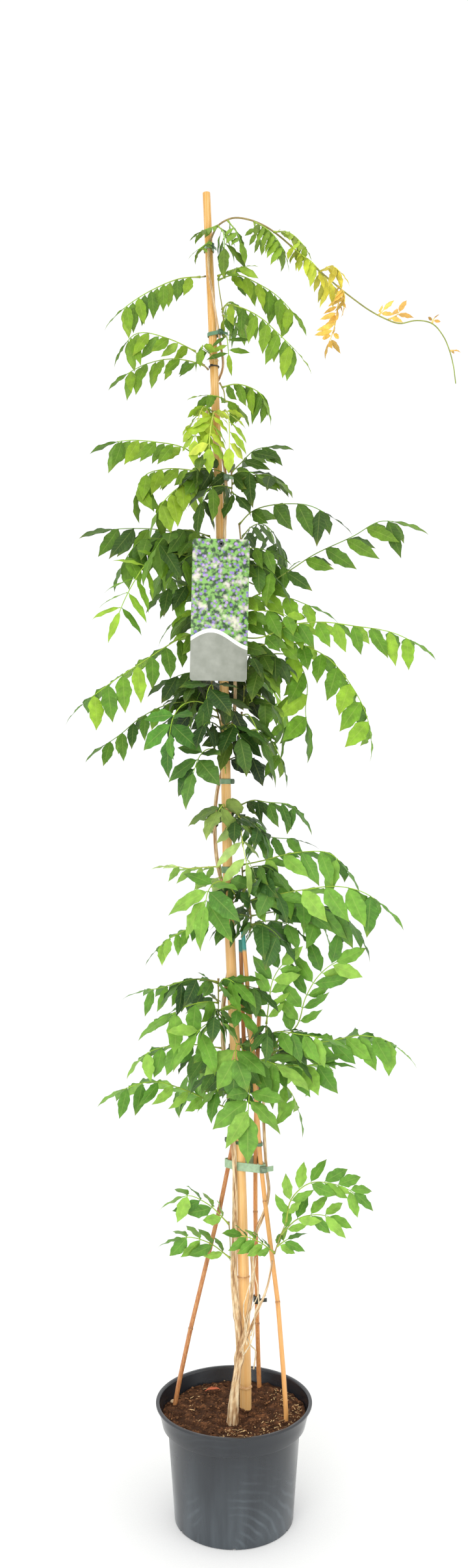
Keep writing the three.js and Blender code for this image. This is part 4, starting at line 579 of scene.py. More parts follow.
def addDryLeaf(piece, look):
    x, y = look["dryLeafSpot"]
    centre = np.array((x, y, soilHeight(look, x, y) + 4.5))
    rings, steps = [], 9
    for i in range(steps + 1):
        u = i / steps
        wide = 5.6 * math.sin(math.pi * min(0.04 + 0.93 * u, 0.985)) ** 0.8
        curl = 2.4 * math.sin(math.pi * u) + 0.8 * math.sin(9 * u)
        along = (u - 0.5) * 24
        ring = []
        for v, lift in ((-1, 0), (-0.4, 0.25), (0.4, 0.25), (1, 0), (0.4, -0.25), (-0.4, -0.25)):
            y = v * wide
            rise = lift + curl + 0.07 * y * y - 1.5
            ring.append(centre + np.array((along, y * 0.8 + 0.25 * along, rise)))
        rings.append(ring)
    piece.tube(rings, colours=light(*look["dryLeaf"]))


def soilFinish(look):
    finish = Finish("pottingSoil", Roughness=0.95)
    grains = finish.grain(900, 5, rough=0.75)
    colour = finish.toned(grains, (0.3, 0.45), (0.72, 1.5))
    flecks = finish.ramp(finish.cells(420)[0], (0.0, 1.0), (0.16, 0.0))
    mask = finish.ramp(finish.grain(60, 2), (0.5, 0.0), (0.64, 0.6))
    colour = finish.mix(finish.product(flecks, mask), colour, light(*look["fleck"]))
    finish.bump(grains, 0.5, 0.8)
    return finish.done(Base_Color=colour, Specular_IOR_Level=0.2)


potPiece(potLook)
soilPiece(soilLook)


print("canes and woody stem")
caneLook = {
    "cane_main": {
        "guide": [(18, 50, 6), (18, 162, 5), (14.3, 381, 5), (9.7, 536, 5), (-10, 981, 5),
                  (-14.3, 1231, 5), (-24.2, 1614, 5), (-33.6, 1831, 5), (-42.4, 2034, 5)],
        "radii": (9.2, 5.9), "rings": (0.075, 0.16, 0.3, 0.45, 0.59, 0.73, 0.87), "bends": (0.22, 0.66),
    },
    "cane_left": {
        "guide": [(-80, 100, 21), (-89, 146, 24), (-92, 162, 25), (-84, 207, 23), (-43.7, 384, 19),
                  (-3, 561, 15), (3, 600, 18), (9, 640, 20.5), (15, 700, 21.5), (10, 885, 22)],
        "radii": (3.6, 3.2), "rings": (0.24, 0.48, 0.78), "bends": (0.055, 0.08, 0.14, 0.62, 0.68),
    },
    "cane_right": {
        "guide": [(79, 100, -32.5), (80, 162, -33), (76, 221, -31), (67, 331, -26), (40.7, 545, -12),
                  (30, 700, -6), (13, 906, -7)],
        "radii": (3.6, 3.2), "rings": (0.28, 0.47, 0.8), "bends": (0.07, 0.15, 0.55, 0.66),
    },
    "cane_back": {
        "guide": [(36, 120, 75), (40, 162, 82), (38, 221, 76), (35, 331, 58), (33, 545, 27),
                  (36, 700, 20), (41, 834, 18)],
        "radii": (3.6, 3.2), "rings": (0.25, 0.5, 0.74), "bends": (0.06, 0.14, 0.57, 0.68, 0.82),
    },
}
caneColours = {
    "cane_main": ((240, 188, 116), (164, 104, 52)), "cane_left": ((172, 104, 62), (104, 54, 32)),
    "cane_right": ((222, 160, 92), (140, 84, 44)), "cane_back": ((206, 134, 76), (120, 68, 38)),
}
# How much darker and yellower a cane is painted with height: the yellowing is its own colour, the darkening
# is painted shade against the stronger light up there.
caneHeightTintAndShade = {"heights": (700, 1900), "by": (0.28, 0.38, 0.7)}
# Pale streaks and dark marks of the thick and the thin canes, and the colours of special places.
caneShades = {
    "thick": ((252, 220, 164), (172, 116, 60)), "thin": ((240, 190, 124), (104, 58, 36)),
    "foot": (160, 100, 54), "pith": (226, 196, 150), "tip": (64, 150, 140),
}
dippedTips = {"cane_left": (0.862, 0.866), "cane_right": (0.868, 0.872)}  # from and to, in metres
stemLook = {
    "limbs": [
        {"guide": [(-3, 95, -38), (-1, 162, -37), (4, 215, -31), (9, 256, -22), (3, 321, -11),
                   (0, 371, -7), (1, 431, -7), (1, 531, -9), (-6, 640, -9), (-17, 730, 0),
                   (-15, 800, 14), (-2, 870, 20), (-10, 940, 20), (-24, 994, 12), (-29, 1041, 4),
                   (-28, 1100, 12), (-12, 1170, 20), (1, 1240, 12), (1, 1300, 0), (-8, 1380, -9),
                   (-14, 1450, -10), (-14, 1520, -9), (-12, 1560, -8), (-13, 1596, -9),
                   (-16, 1626, -10), (-27, 1651, -9), (-39, 1675, -3), (-41, 1705, 9), (-30, 1735, 19),
                   (-18, 1760, 8), (-21, 1803, -3), (-28, 1846, -7), (-35, 1891, -8), (-40, 1930, -7),
                   (-39, 1955, -9)],
         "radii": (6.4, 5.6, 3.6, 3.3, 3, 2.8, 2.5, 2.3, 2, 1.8), "count": 50},
        {"guide": [(7, 245, -25), (20, 300, -20), (29, 361, -14), (29, 421, -9), (45, 462, -2),
                   (53, 490, -6), (49, 541, -4), (46, 600, 2), (42, 680, 4), (22, 742, 13),
                   (21, 820, 20)],
         "radii": (3.4, 2.6, 2.2, 1.8), "count": 18},
        {"guide": [(9, 252, -26), (24, 285, -34), (38, 318, -44), (51, 351, -48), (59, 392, -48)],
         "radii": (2.4, 1.8, 1.5), "count": 9},
    ],
    # pale and dark also give the painted highlight on the bark's ridges and the painted shade in its grooves;
    # pale is the twigs' own colour too.
    "colour": (208, 174, 130), "pale": (242, 222, 184), "dark": (150, 110, 72), "speck": (214, 192, 158),
    "ridge": 0.34, "flare": 2.2,
    "twigs": [
        [(26, 276, -34), (31, 300, -30), (38, 330, -27), (33, 368, -24), (28, 404, -22), (24, 436, -16)],
        [(20, 262, -32), (17, 292, -26), (15, 318, -24), (22, 352, -22), (30, 372, -26), (35, 398, -30)],
        [(30, 225, -12), (33, 252, -18), (22, 268, -28), (20, 292, -32), (26, 316, -34), (37, 338, -38)],
        [(14, 246, -30), (22, 258, -38), (30, 276, -42), (31, 298, -44), (36, 322, -46), (49, 338, -50)],
    ],
    "twigRadii": (1.3, 0.9, 0.5),
}


def caneRadius(look, share):
    return look["radii"][0] + (look["radii"][1] - look["radii"][0]) * share


# A cane's path bends only at its bends and node rings, as the solid's does.
def canePath(look):
    route = Route([place(p) for p in look["guide"]])
    half = 3.5 / route.total
    shares = [0, *look["bends"], 1]
    for share in look["rings"]:
        shares += [share - half, share, share + half]
    return stretches(route, sorted(shares))


# One cane: a slim round bar, a ridge and a groove at each node, and a hollow cut end.
def canePiece(name, look):
    path = canePath(look)
    wide = look["radii"][0] > 5
    sides, pitch = (32, 7) if wide else (16, 7)
    rise = 1.1 if wide else 0.5
    nodes = [share * path.total for share in look["rings"]]
    stops = set(np.arange(0, path.total, pitch)) | {path.total}
    for node in nodes:
        stops |= {node + d for d in (-6, -4, -2.8, -1.9, -1.2, -0.6, 0, 0.6, 1.2, 1.9, 2.6, 3.4, 4.4, 6, 9)}
    stops = sorted(s for s in stops if 0 <= s <= path.total)
    base, dark = (np.array(light(*c)) for c in caneColours[name])
    rings, tints, spots = [], [], []
    for s, (centre, across, other) in zip(stops, path.frames(stops)):
        radius = caneRadius(look, s / path.total)
        nearest = min(nodes, key=lambda node: abs(s - node))
        away = s - nearest
        ridge = rise * math.exp(-((away / 1.5) ** 2)) - 0.35 * rise * math.exp(-(((away - 3.4) / 1.2) ** 2))
        swell = 0.02 * radius * math.exp(-abs(away) / 18)
        shade = 0.75 * math.exp(-(((away - 1.6) / 1.1) ** 2)) + 0.25 * math.exp(-((away / 7) ** 2))
        # Higher up the cane is painted yellower and darker; the darkening is painted shade.
        heightTintAndShade = np.array(caneHeightTintAndShade["by"]) * np.interp(centre[2], caneHeightTintAndShade["heights"], (0, 1))
        for k in range(sides):
            angle = 2 * math.pi * k / sides
            out = across * math.cos(angle) + other * math.sin(angle)
            rough = 0.012 * radius * wobble((3 * math.cos(angle), 3 * math.sin(angle), s / 40), 1)
            rings.append(centre + out * (radius + ridge + swell + rough))
            tints.append((base + (dark - base) * min(shade, 1)) * (1 - heightTintAndShade))
            spots.append((angle, s, radius))
    piece = Piece()
    rings = np.array(rings).reshape(len(stops), sides, 3)
    centre, heading = path.at(path.total), path.heading(path.total)
    radius = caneRadius(look, 1)
    last = rings[-1]
    inner = [centre + (last - centre) * 0.93 + heading * 0.3]
    for share, sink in ((0.5, 0.25), (0.42, -0.6), (0.36, -6)):
        inner.append(centre + (last - centre) * share + heading * sink)
    pith = np.array(light(*caneShades["pith"]))
    rings = np.concatenate((rings, np.array(inner)))
    # Deeper inside the hollow end the pith is painted darker, as shade.
    hollow = np.repeat([pith, pith, pith * 0.7, pith * 0.3], sides, axis=0)
    tints = np.concatenate((np.array(tints), hollow))
    spots = np.concatenate((np.array(spots), np.tile((0, path.total, radius), (4 * sides, 1))))
    piece.tube(rings, colours=tints, places=spots)
    made = piece.make(name + "_shape", caneFinish(name, wide))
    markCreases(made.data, 50)
    return show(made, "bamboo_cane" if wide else "thin_cane", name)


def caneFinish(name, wide):
    finish = Finish(name + "Bamboo", Roughness=0.36)
    long = finish.stretched(finish.position(), (900, 900, 14) if wide else (1600, 1600, 20))
    fibres = finish.grain(1, 4, long, 0.6)
    patches = finish.grain(9 if wide else 20, 3, finish.stretched(finish.position(), (3, 3, 0.6)))
    streak, mark = caneShades["thick" if wide else "thin"]
    tint = finish.attribute("tint")[0]
    streaks = finish.mix(finish.ramp(fibres, (0.42, 0.0), (0.62, 0.55)), tint, light(*streak))
    colour = finish.mix(finish.ramp(patches, (0.5, 0.0), (0.8, 0.55)), streaks, light(*mark))
    if wide:
        # A darker band round the thick cane from 0.82 to 0.98 m up.
        foot = finish.ramp(finish.climb(0.82, 0.98), (0.0, 0.0), (0.3, 0.6), (0.8, 0.6), (1.0, 0.0))
        colour = finish.mix(finish.product(foot, 0.6), colour, light(*caneShades["foot"]))
    if name in dippedTips:
        colour = finish.mix(finish.climb(*dippedTips[name]), colour, light(*caneShades["tip"]))
    finish.bump(fibres, 0.12, 0.5)
    return finish.done(Base_Color=colour, Specular_IOR_Level=0.4)


# The path of one limb of the stem, in as many stretches as the solid has.
def limbRoute(limb):
    route = Route([place(p) for p in limb["guide"]])
    shares = [i / limb["count"] for i in range(limb["count"] + 1)]
    return Route([route.at(share * route.total) for share in shares], 5)


# Bark: ridges that wind slowly round the stem, knots, and a wider foot.
def stemPiece(look):
    piece = Piece()
    base, pale, dark = (np.array(light(*look[key])) for key in ("colour", "pale", "dark"))
    for number, (limb, route) in enumerate(zip(look["limbs"], limbRoutes)):
        sides = (22, 14, 12)[number]
        stops = np.arange(0, route.total, 3.2)
        rings, tints = [], []
        for s, (centre, across, other) in zip(stops, route.frames(stops)):
            share = s / route.total
            radius = taper(limb["radii"], share)
            foot = 0.5 * math.exp(-s / 14)
            if number == 0:
                foot = look["flare"] * math.exp(-max(s - 66, 0) / 16)
            knot = 0.9 * max(noise.noise(Vector((s / 31 + number * 9, 5, 1))) - 0.34, 0) * radius
            for k in range(sides):
                angle = 2 * math.pi * k / sides
                out = across * math.cos(angle) + other * math.sin(angle)
                wind = angle + s * 0.012
                spot = (2.2 * math.cos(wind), 2.2 * math.sin(wind), s / 34 + 20 * number)
                groove = noise.noise(Vector(spot))
                fine = noise.noise(Vector((5 * math.cos(wind), 5 * math.sin(wind), s / 9)))
                bark = look["ridge"] * radius * 0.5 * groove + 0.1 * radius * fine
                rings.append(centre + out * (radius + foot + knot + bark * (0.7 if radius < 3 else 1)))
                # The bark's tint follows its relief: darker in the grooves and paler on the ridges, partly
                # its own colour and partly painted shade and painted highlight.
                tone = min(max(0.5 + 1.5 * groove + 0.6 * fine, 0), 1)
                below, above = min(tone * 2, 1), max(tone * 2 - 1, 0)
                tints.append(dark + (base - dark) * below + (pale - base) * above * 0.8)
        piece.tube(np.array(rings).reshape(len(stops), sides, 3), colours=np.array(tints))
    for number, twig in enumerate(look["twigs"]):
        addTwig(piece, look, number, twig)
    return show(piece.make("stemShape", barkFinish()), "bark", "stem_woody")


# A thin bare twig that wavers on its way up.
def addTwig(piece, look, number, twig):
    route = Route([place(p) for p in twig], 6)
    stops = np.linspace(0, route.total, 40)
    pale = np.array(light(*look["pale"]))
    rings, tints = [], []
    for s, (centre, across, other) in zip(stops, route.frames(stops)):
        sway = 1.6 * (s / 30 if s < 30 else 1)
        aside, ahead = (sway * wobble((s, 9 * number, k), 14) for k in (2, 7))
        centre = centre + across * aside + other * ahead
        radius = taper(look["twigRadii"], s / route.total) * (1 + 0.3 * wobble((s, number, 4), 5))
        rings.append(circle(centre, across, other, radius, 8))
        tints += [pale * (0.85 + 0.3 * wobble((s, math.pi * k / 4, number), 6)) for k in range(8)]
    piece.tube(rings, colours=np.array(tints))


def barkFinish():
    finish = Finish("vineBark", Roughness=0.85)
    strands = finish.grain(1, 5, finish.stretched(finish.position(), (700, 700, 90)), 0.7)
    spots = finish.ramp(finish.cells(240)[0], (0.0, 1.0), (0.2, 0.0))
    mask = finish.ramp(finish.grain(38, 2), (0.52, 0.0), (0.62, 0.7))
    colour = finish.toned(strands, (0.3, 0.72), (0.7, 1.2))
    colour = finish.mix(finish.product(spots, mask), colour, light(*stemLook["speck"]))
    finish.bump(strands, 0.3, 0.7)
    return finish.done(Base_Color=colour, Specular_IOR_Level=0.25)


limbRoutes = [limbRoute(limb) for limb in stemLook["limbs"]]
for caneName, caneValues in caneLook.items():
    canePiece(caneName, caneValues)
stemPiece(stemLook)


print("ties and label")
allCanes = ("cane_main", "cane_left", "cane_right", "cane_back")
caneAndStem = ("cane_main", "stem")
# Each tie: its height, how tall and thick its band is, its buckle, which way that faces, and what it holds.
tieLook = {
    "tie_top": (1948, 7, 1.1, (7, 5, 9), -35, caneAndStem),
    "tie_upper": (1817, 6, 1.1, (7, 5, 8), -60, caneAndStem),
    "tie_ring": (1768, 2.4, 1.2, (4, 4, 3), -110, ("cane_main",)),
    "tie_shoulder": (1593, 8, 1.2, (9, 6, 9), -80, caneAndStem),
    "tie_middle": (1129, 8, 1.2, (6, 4, 8), -20, ("cane_main",)),
    "tie_waist": (993, 10, 1.3, (9, 6, 11), -60, ("cane_main",)),
    "tie_clip_back": (734, 9, 1.3, (9, 6, 9), -120, ("cane_back",)),
    "tie_lower": (574, 5, 1.2, (10, 8, 7), 190, allCanes),
    "tie_big": (538, 13, 1.3, (10, 7, 10), -75, allCanes),
    "tie_foot": (311, 10, 1.4, (8, 6, 10), -90, ("cane_back",)),
}
tieColours = {
    "tie_top": (124, 160, 116), "tie_upper": (96, 138, 104), "tie_ring": (70, 60, 46),
    "tie_shoulder": (150, 180, 142), "tie_middle": (118, 150, 112), "tie_waist": (112, 146, 104),
    "tie_clip_back": (52, 60, 50), "tie_lower": (86, 118, 84), "tie_big": (158, 186, 150),
    "tie_foot": (46, 52, 44),
}
darkTies = ("tie_clip_back", "tie_foot")
canePaths = {name: canePath(look) for name, look in caneLook.items()}


# The middle and radius of a cane or the stem at a height.
def sectionAt(name, height):
    if name == "stem":
        route = limbRoutes[0]
        s = route.crossing(height)
        radius = taper(stemLook["limbs"][0]["radii"], s / route.total) * 1.12
    else:
        route = canePaths[name]
        s = route.crossing(height)
        radius = caneRadius(caneLook[name], s / route.total)
    return route.at(s), radius + 0.5


# The section that stands out furthest in a direction.
def furthest(sections, out):
    return max(sections, key=lambda s: s[0][0] * out[0] + s[0][1] * out[1] + s[1])


# A taut strap with rounded edges: in each direction it touches the section that stands out furthest.
def strap(piece, sections, height, tall, thick, steps, **values):
    edge, half = min(0.45, thick * 0.38), tall / 2
    profile = [(0, edge - half), (edge, -half), (thick - edge, -half), (thick, edge - half)]
    profile += [(x, -z) for x, z in profile[::-1]]
    rows = []
    for k in range(steps):
        angle = 2 * math.pi * (k + 0.5) / steps
        out = np.array((math.cos(angle), math.sin(angle), 0))
        centre, radius = furthest(sections, out)
        flat = np.array((centre[0], centre[1], 0))
        rows.append([flat + out * (radius + 0.3 + x) + (0, 0, height + z) for x, z in profile])
    rows = np.array(rows)
    sides = len(profile)
    faces = []
    for i in range(steps):
        after = (i + 1) % steps
        for k in range(sides):
            beside = (k + 1) % sides
            faces.append((i * sides + k, after * sides + k, after * sides + beside, i * sides + beside))
    piece.add(rows.reshape(-1, 3), faces, **values)


# A block with rounded edges: rounded outline, stacked in layers that shrink toward both faces.
def softBlock(piece, centre, axes, size, edge, **values):
    half = [s / 2 for s in size]
    outline = []
    for sx, sy, start in ((1, 1, 0), (-1, 1, 90), (-1, -1, 180), (1, -1, 270)):
        for k in range(4):
            a = math.radians(start + 30 * k)
            outline.append((sx, sy, math.cos(a), math.sin(a)))
    layers = []
    for k in range(4):
        a = math.radians(90 - 30 * k)
        layers.append((-half[2] + edge - edge * math.sin(a), edge * math.cos(a) - edge))
    layers += [(-z, grow) for z, grow in layers[::-1]]
    rings = []
    for z, grow in layers:
        ring = []
        for sx, sy, cx, cy in outline:
            x = sx * (half[0] - edge) + cx * (edge + grow)
            y = sy * (half[1] - edge) + cy * (edge + grow)
            ring.append(centre + axes[0] * x + axes[1] * y + axes[2] * z)
        rings.append(ring)
    piece.tube(rings, **values)


def tiePiece(name, look):
    piece = Piece()
    level, bandTall, bandThick, (wide, deep, tall), facing, held = look
    height = place((0, level, 0))[2]
    edges = (height - bandTall / 2, height + bandTall / 2)
    sections = [sectionAt(member, edge) for edge in edges for member in held]
    colour = light(*tieColours[name])
    steps = 200 if len(held) > 1 else 72
    strap(piece, sections, height, bandTall, bandThick, steps, colours=colour)
    angle = math.radians(facing)
    out, up = np.array((math.cos(angle), math.sin(angle), 0)), np.array((0, 0, 1.0))
    side = np.array((-out[1], out[0], 0))
    centre, radius = furthest(sections, out)
    middle = np.array((centre[0], centre[1], height)) + out * (radius + 0.3 + deep / 2 + 0.4)
    buckle = np.array(colour) * (0.42 if name not in darkTies else 0.8)
    edge = min(deep, wide, tall) * 0.2
    softBlock(piece, middle, (out, side, up), (deep, wide, tall), edge, colours=buckle)
    if bandTall > 4:
        lid = middle + out * (deep / 2 + 0.35)
        softBlock(piece, lid, (out, side, up), (1.1, wide * 0.62, tall * 0.5), 0.4, colours=buckle * 1.25)
        for lift in (-0.36, 0.36):
            rib = middle + out * (deep / 2 + 0.1) + up * tall * lift
            softBlock(piece, rib, (out, side, up), (0.9, wide * 0.9, 0.9), 0.3, colours=buckle * 1.1)
        length = min(13, 1.5 * bandTall + 3)
        tail = middle + side * (wide / 2 + length / 2 - 1) - out * 0.15 * deep
        lean = unit(side - out * 0.22)
        size = (0.9, length, bandTall * 0.62)
        softBlock(piece, tail, (cross(lean, up), lean, up), size, 0.35, colours=np.array(colour) * 0.9)
    made = piece.make(name + "_shape", tieFinish(name))
    markCreases(made.data, 40)
    return show(made, "dark_tie" if name in darkTies else "green_tie", name)


def tieFinish(name):
    finish = Finish(name + "Plastic")
    worn = finish.grain(160, 4, rough=0.6)
    colour = finish.toned(worn, (0.3, 0.8), (0.75, 1.2))
    finish.bump(worn, 0.06, 0.4)
    return finish.done(Base_Color=colour, Roughness=finish.ramp(worn, (0.3, 0.3), (0.8, 0.5)))


labelLook = {
    "width": 86, "height": 213, "thickness": 0.9, "corner": 5, "centre": (-22, 1393, -48), "lean": -1.3,
    "holeRadius": 2.4, "holeDrop": 8, "rows": 96, "columns": 28, "crease": 40,
    "field": ((132, 136, 124), (150, 153, 142)), "arc": (238, 240, 232), "back": (226, 228, 220),
    "leafy": ((34, 66, 30), (124, 176, 84)), "dots": ((92, 84, 168), (188, 160, 206)),
    "glow": (222, 216, 200),
}
labelTieLook = {"colour": (40, 46, 42), "tall": 4, "thick": 1.2, "pinRadius": 1.6}


# The card's middle, and its directions to the right and up.
def labelFrame(look):
    lean = -math.radians(look["lean"])
    right = np.array((math.cos(lean), 0, -math.sin(lean)))
    up = np.array((math.sin(lean), 0, math.cos(lean)))
    return place(look["centre"]), right, up


# The middle of the hole near the card's upper end.
def labelHole(look):
    centre, up = labelFrame(look)[::2]
    return centre + up * (look["height"] / 2 - look["holeDrop"])


def labelPiece(look):
    centre, right, up = labelFrame(look)
    halfWide, halfTall, corner = look["width"] / 2, look["height"] / 2, look["corner"]
    ends = [corner * (1 - math.cos(math.radians(15 * k))) for k in range(7)]
    heights = [-halfTall + e for e in ends]
    heights += list(np.linspace(-halfTall + corner, halfTall - corner, look["rows"])[1:-1])
    heights += [halfTall - e for e in ends[::-1]]
    piece = Piece()
    rings, spots = [], []
    for z in heights:
        inset = corner - (halfTall - abs(z))
        wide = halfWide - (corner - math.sqrt(max(corner**2 - inset**2, 0)) if inset > 0 else 0)
        xs = np.linspace(-wide, wide, look["columns"])
        ring = []
        for side, line in ((-1, xs), (1, xs[::-1])):
            for x in line:
                across, down = x / halfWide, 0.5 - z / look["height"]
                y = side * look["thickness"] / 2 + 4 * across**2 * (0.4 + down) + 3 * down**2
                ring.append(centre + right * x + up * z + (0, y, 0))
                spots.append((x / look["width"] + 0.5, z / look["height"] + 0.5, side))
        rings.append(ring)
    piece.tube(rings, places=spots)
    made = piece.make("labelShape", labelFinish(look))
    drill = Piece()
    centres = [labelHole(look) + (0, y, 0) for y in (-12, 12)]
    drill.tube([ring[::-1] for ring in discs((1, 0, 0), (0, 0, 1), look["holeRadius"], 32, centres)])
    carve(made, drill.make("labelDrill", made.data.materials[0], smooth=False))
    markCreases(made.data, look["crease"])
    return show(made, "label_card", "label")


# A plain card: a sage field, a pale hill line and a soft pattern of green and violet dots.
def labelFinish(look):
    finish = Finish("labelCard", Roughness=0.42)
    spot = finish.attribute("spot")[1]
    across, rise, side = finish.node("SeparateXYZ", {0: spot}).outputs
    wave = finish.sum("SINE", finish.product(across, 4.4))
    hill = finish.sum("ADD", 0.3, finish.product(wave, 0.06))
    above = finish.sum("SUBTRACT", hill, rise)
    flat = finish.stretched(spot, (8.6, 21.3, 0))
    field, fieldLight = (light(*colour) for colour in look["field"])
    field = finish.mix(finish.ramp(finish.grain(0.55, 3, flat), (0.35, 0.0), (0.7, 1.0)), field, fieldLight)
    shade, leafy = (light(*colour) for colour in look["leafy"])
    leafy = finish.mix(finish.ramp(finish.grain(1.3, 4, flat), (0.42, 0.0), (0.56, 1.0)), shade, leafy)
    blue, violet = (light(*colour) for colour in look["dots"])
    dots = finish.cells(1.5, flat)
    spots = finish.ramp(dots[0], (0.24, 1.0), (0.44, 0.0))
    pattern = finish.mix(spots, leafy, finish.mix(dots[1], blue, violet))
    glow = finish.ramp(finish.grain(0.5, 3, flat), (0.54, 0.0), (0.66, 0.8))
    pattern = finish.mix(glow, pattern, light(*look["glow"]))
    upper = finish.ramp(finish.sum("MULTIPLY", above, 40, clamp=True), (0.0, 0.0), (0.2, 1.0))
    line = finish.product(finish.sum("GREATER_THAN", above, -0.008), finish.sum("LESS_THAN", above, 0.02))
    front = finish.mix(line, finish.mix(upper, pattern, field), light(*look["arc"]))
    colour = finish.mix(finish.sum("GREATER_THAN", side, 0.0), front, light(*look["back"]))
    finish.bump(finish.grain(700, 2), 0.02, 0.4)
    return finish.done(Base_Color=colour)


# The strap that the card hangs from, with a pin through the card's hole.
def labelTiePiece(look):
    hole = labelHole(labelLook)
    tall = look["tall"]
    sections = [sectionAt(name, hole[2] + lift) for name in caneAndStem for lift in (-tall / 2, tall / 2)]
    piece = Piece()
    colour = np.array(light(*look["colour"]))
    strap(piece, sections, hole[2], tall, look["thick"], 160, colours=colour)
    front = min(c[1] - r for c, r in sections) - 0.8
    head = ((-3.0, 3.2), (-2.9, 3.9), (-2.5, 4.2), (-1.9, 4.2), (-1.5, 3.9), (-1.4, 3.2))
    radius = look["pinRadius"]
    for profile, shade in ((((-3, radius), (front - hole[1], radius)), 1), (head, 1.3)):
        rings = [discs((1, 0, 0), (0, 0, 1), r, 20, [hole + (0, y, 0)])[0][::-1] for y, r in profile]
        piece.tube(rings, colours=colour * shade)
    lead = min(c[0] for c, r in sections) - hole[0]
    middle = hole + (lead / 2, front - hole[1] - 1, 0)
    softBlock(piece, middle, np.eye(3), (abs(lead) + 12, 2, tall), 0.6, colours=colour)
    made = piece.make("labelTieShape", tieFinish("labelTie"))
    markCreases(made.data, 40)
    return show(made, "dark_tie", "label_tie")


for tieName, tieValues in tieLook.items():
    tiePiece(tieName, tieValues)
labelPiece(labelLook)
labelTiePiece(labelTieLook)


print("shoots")
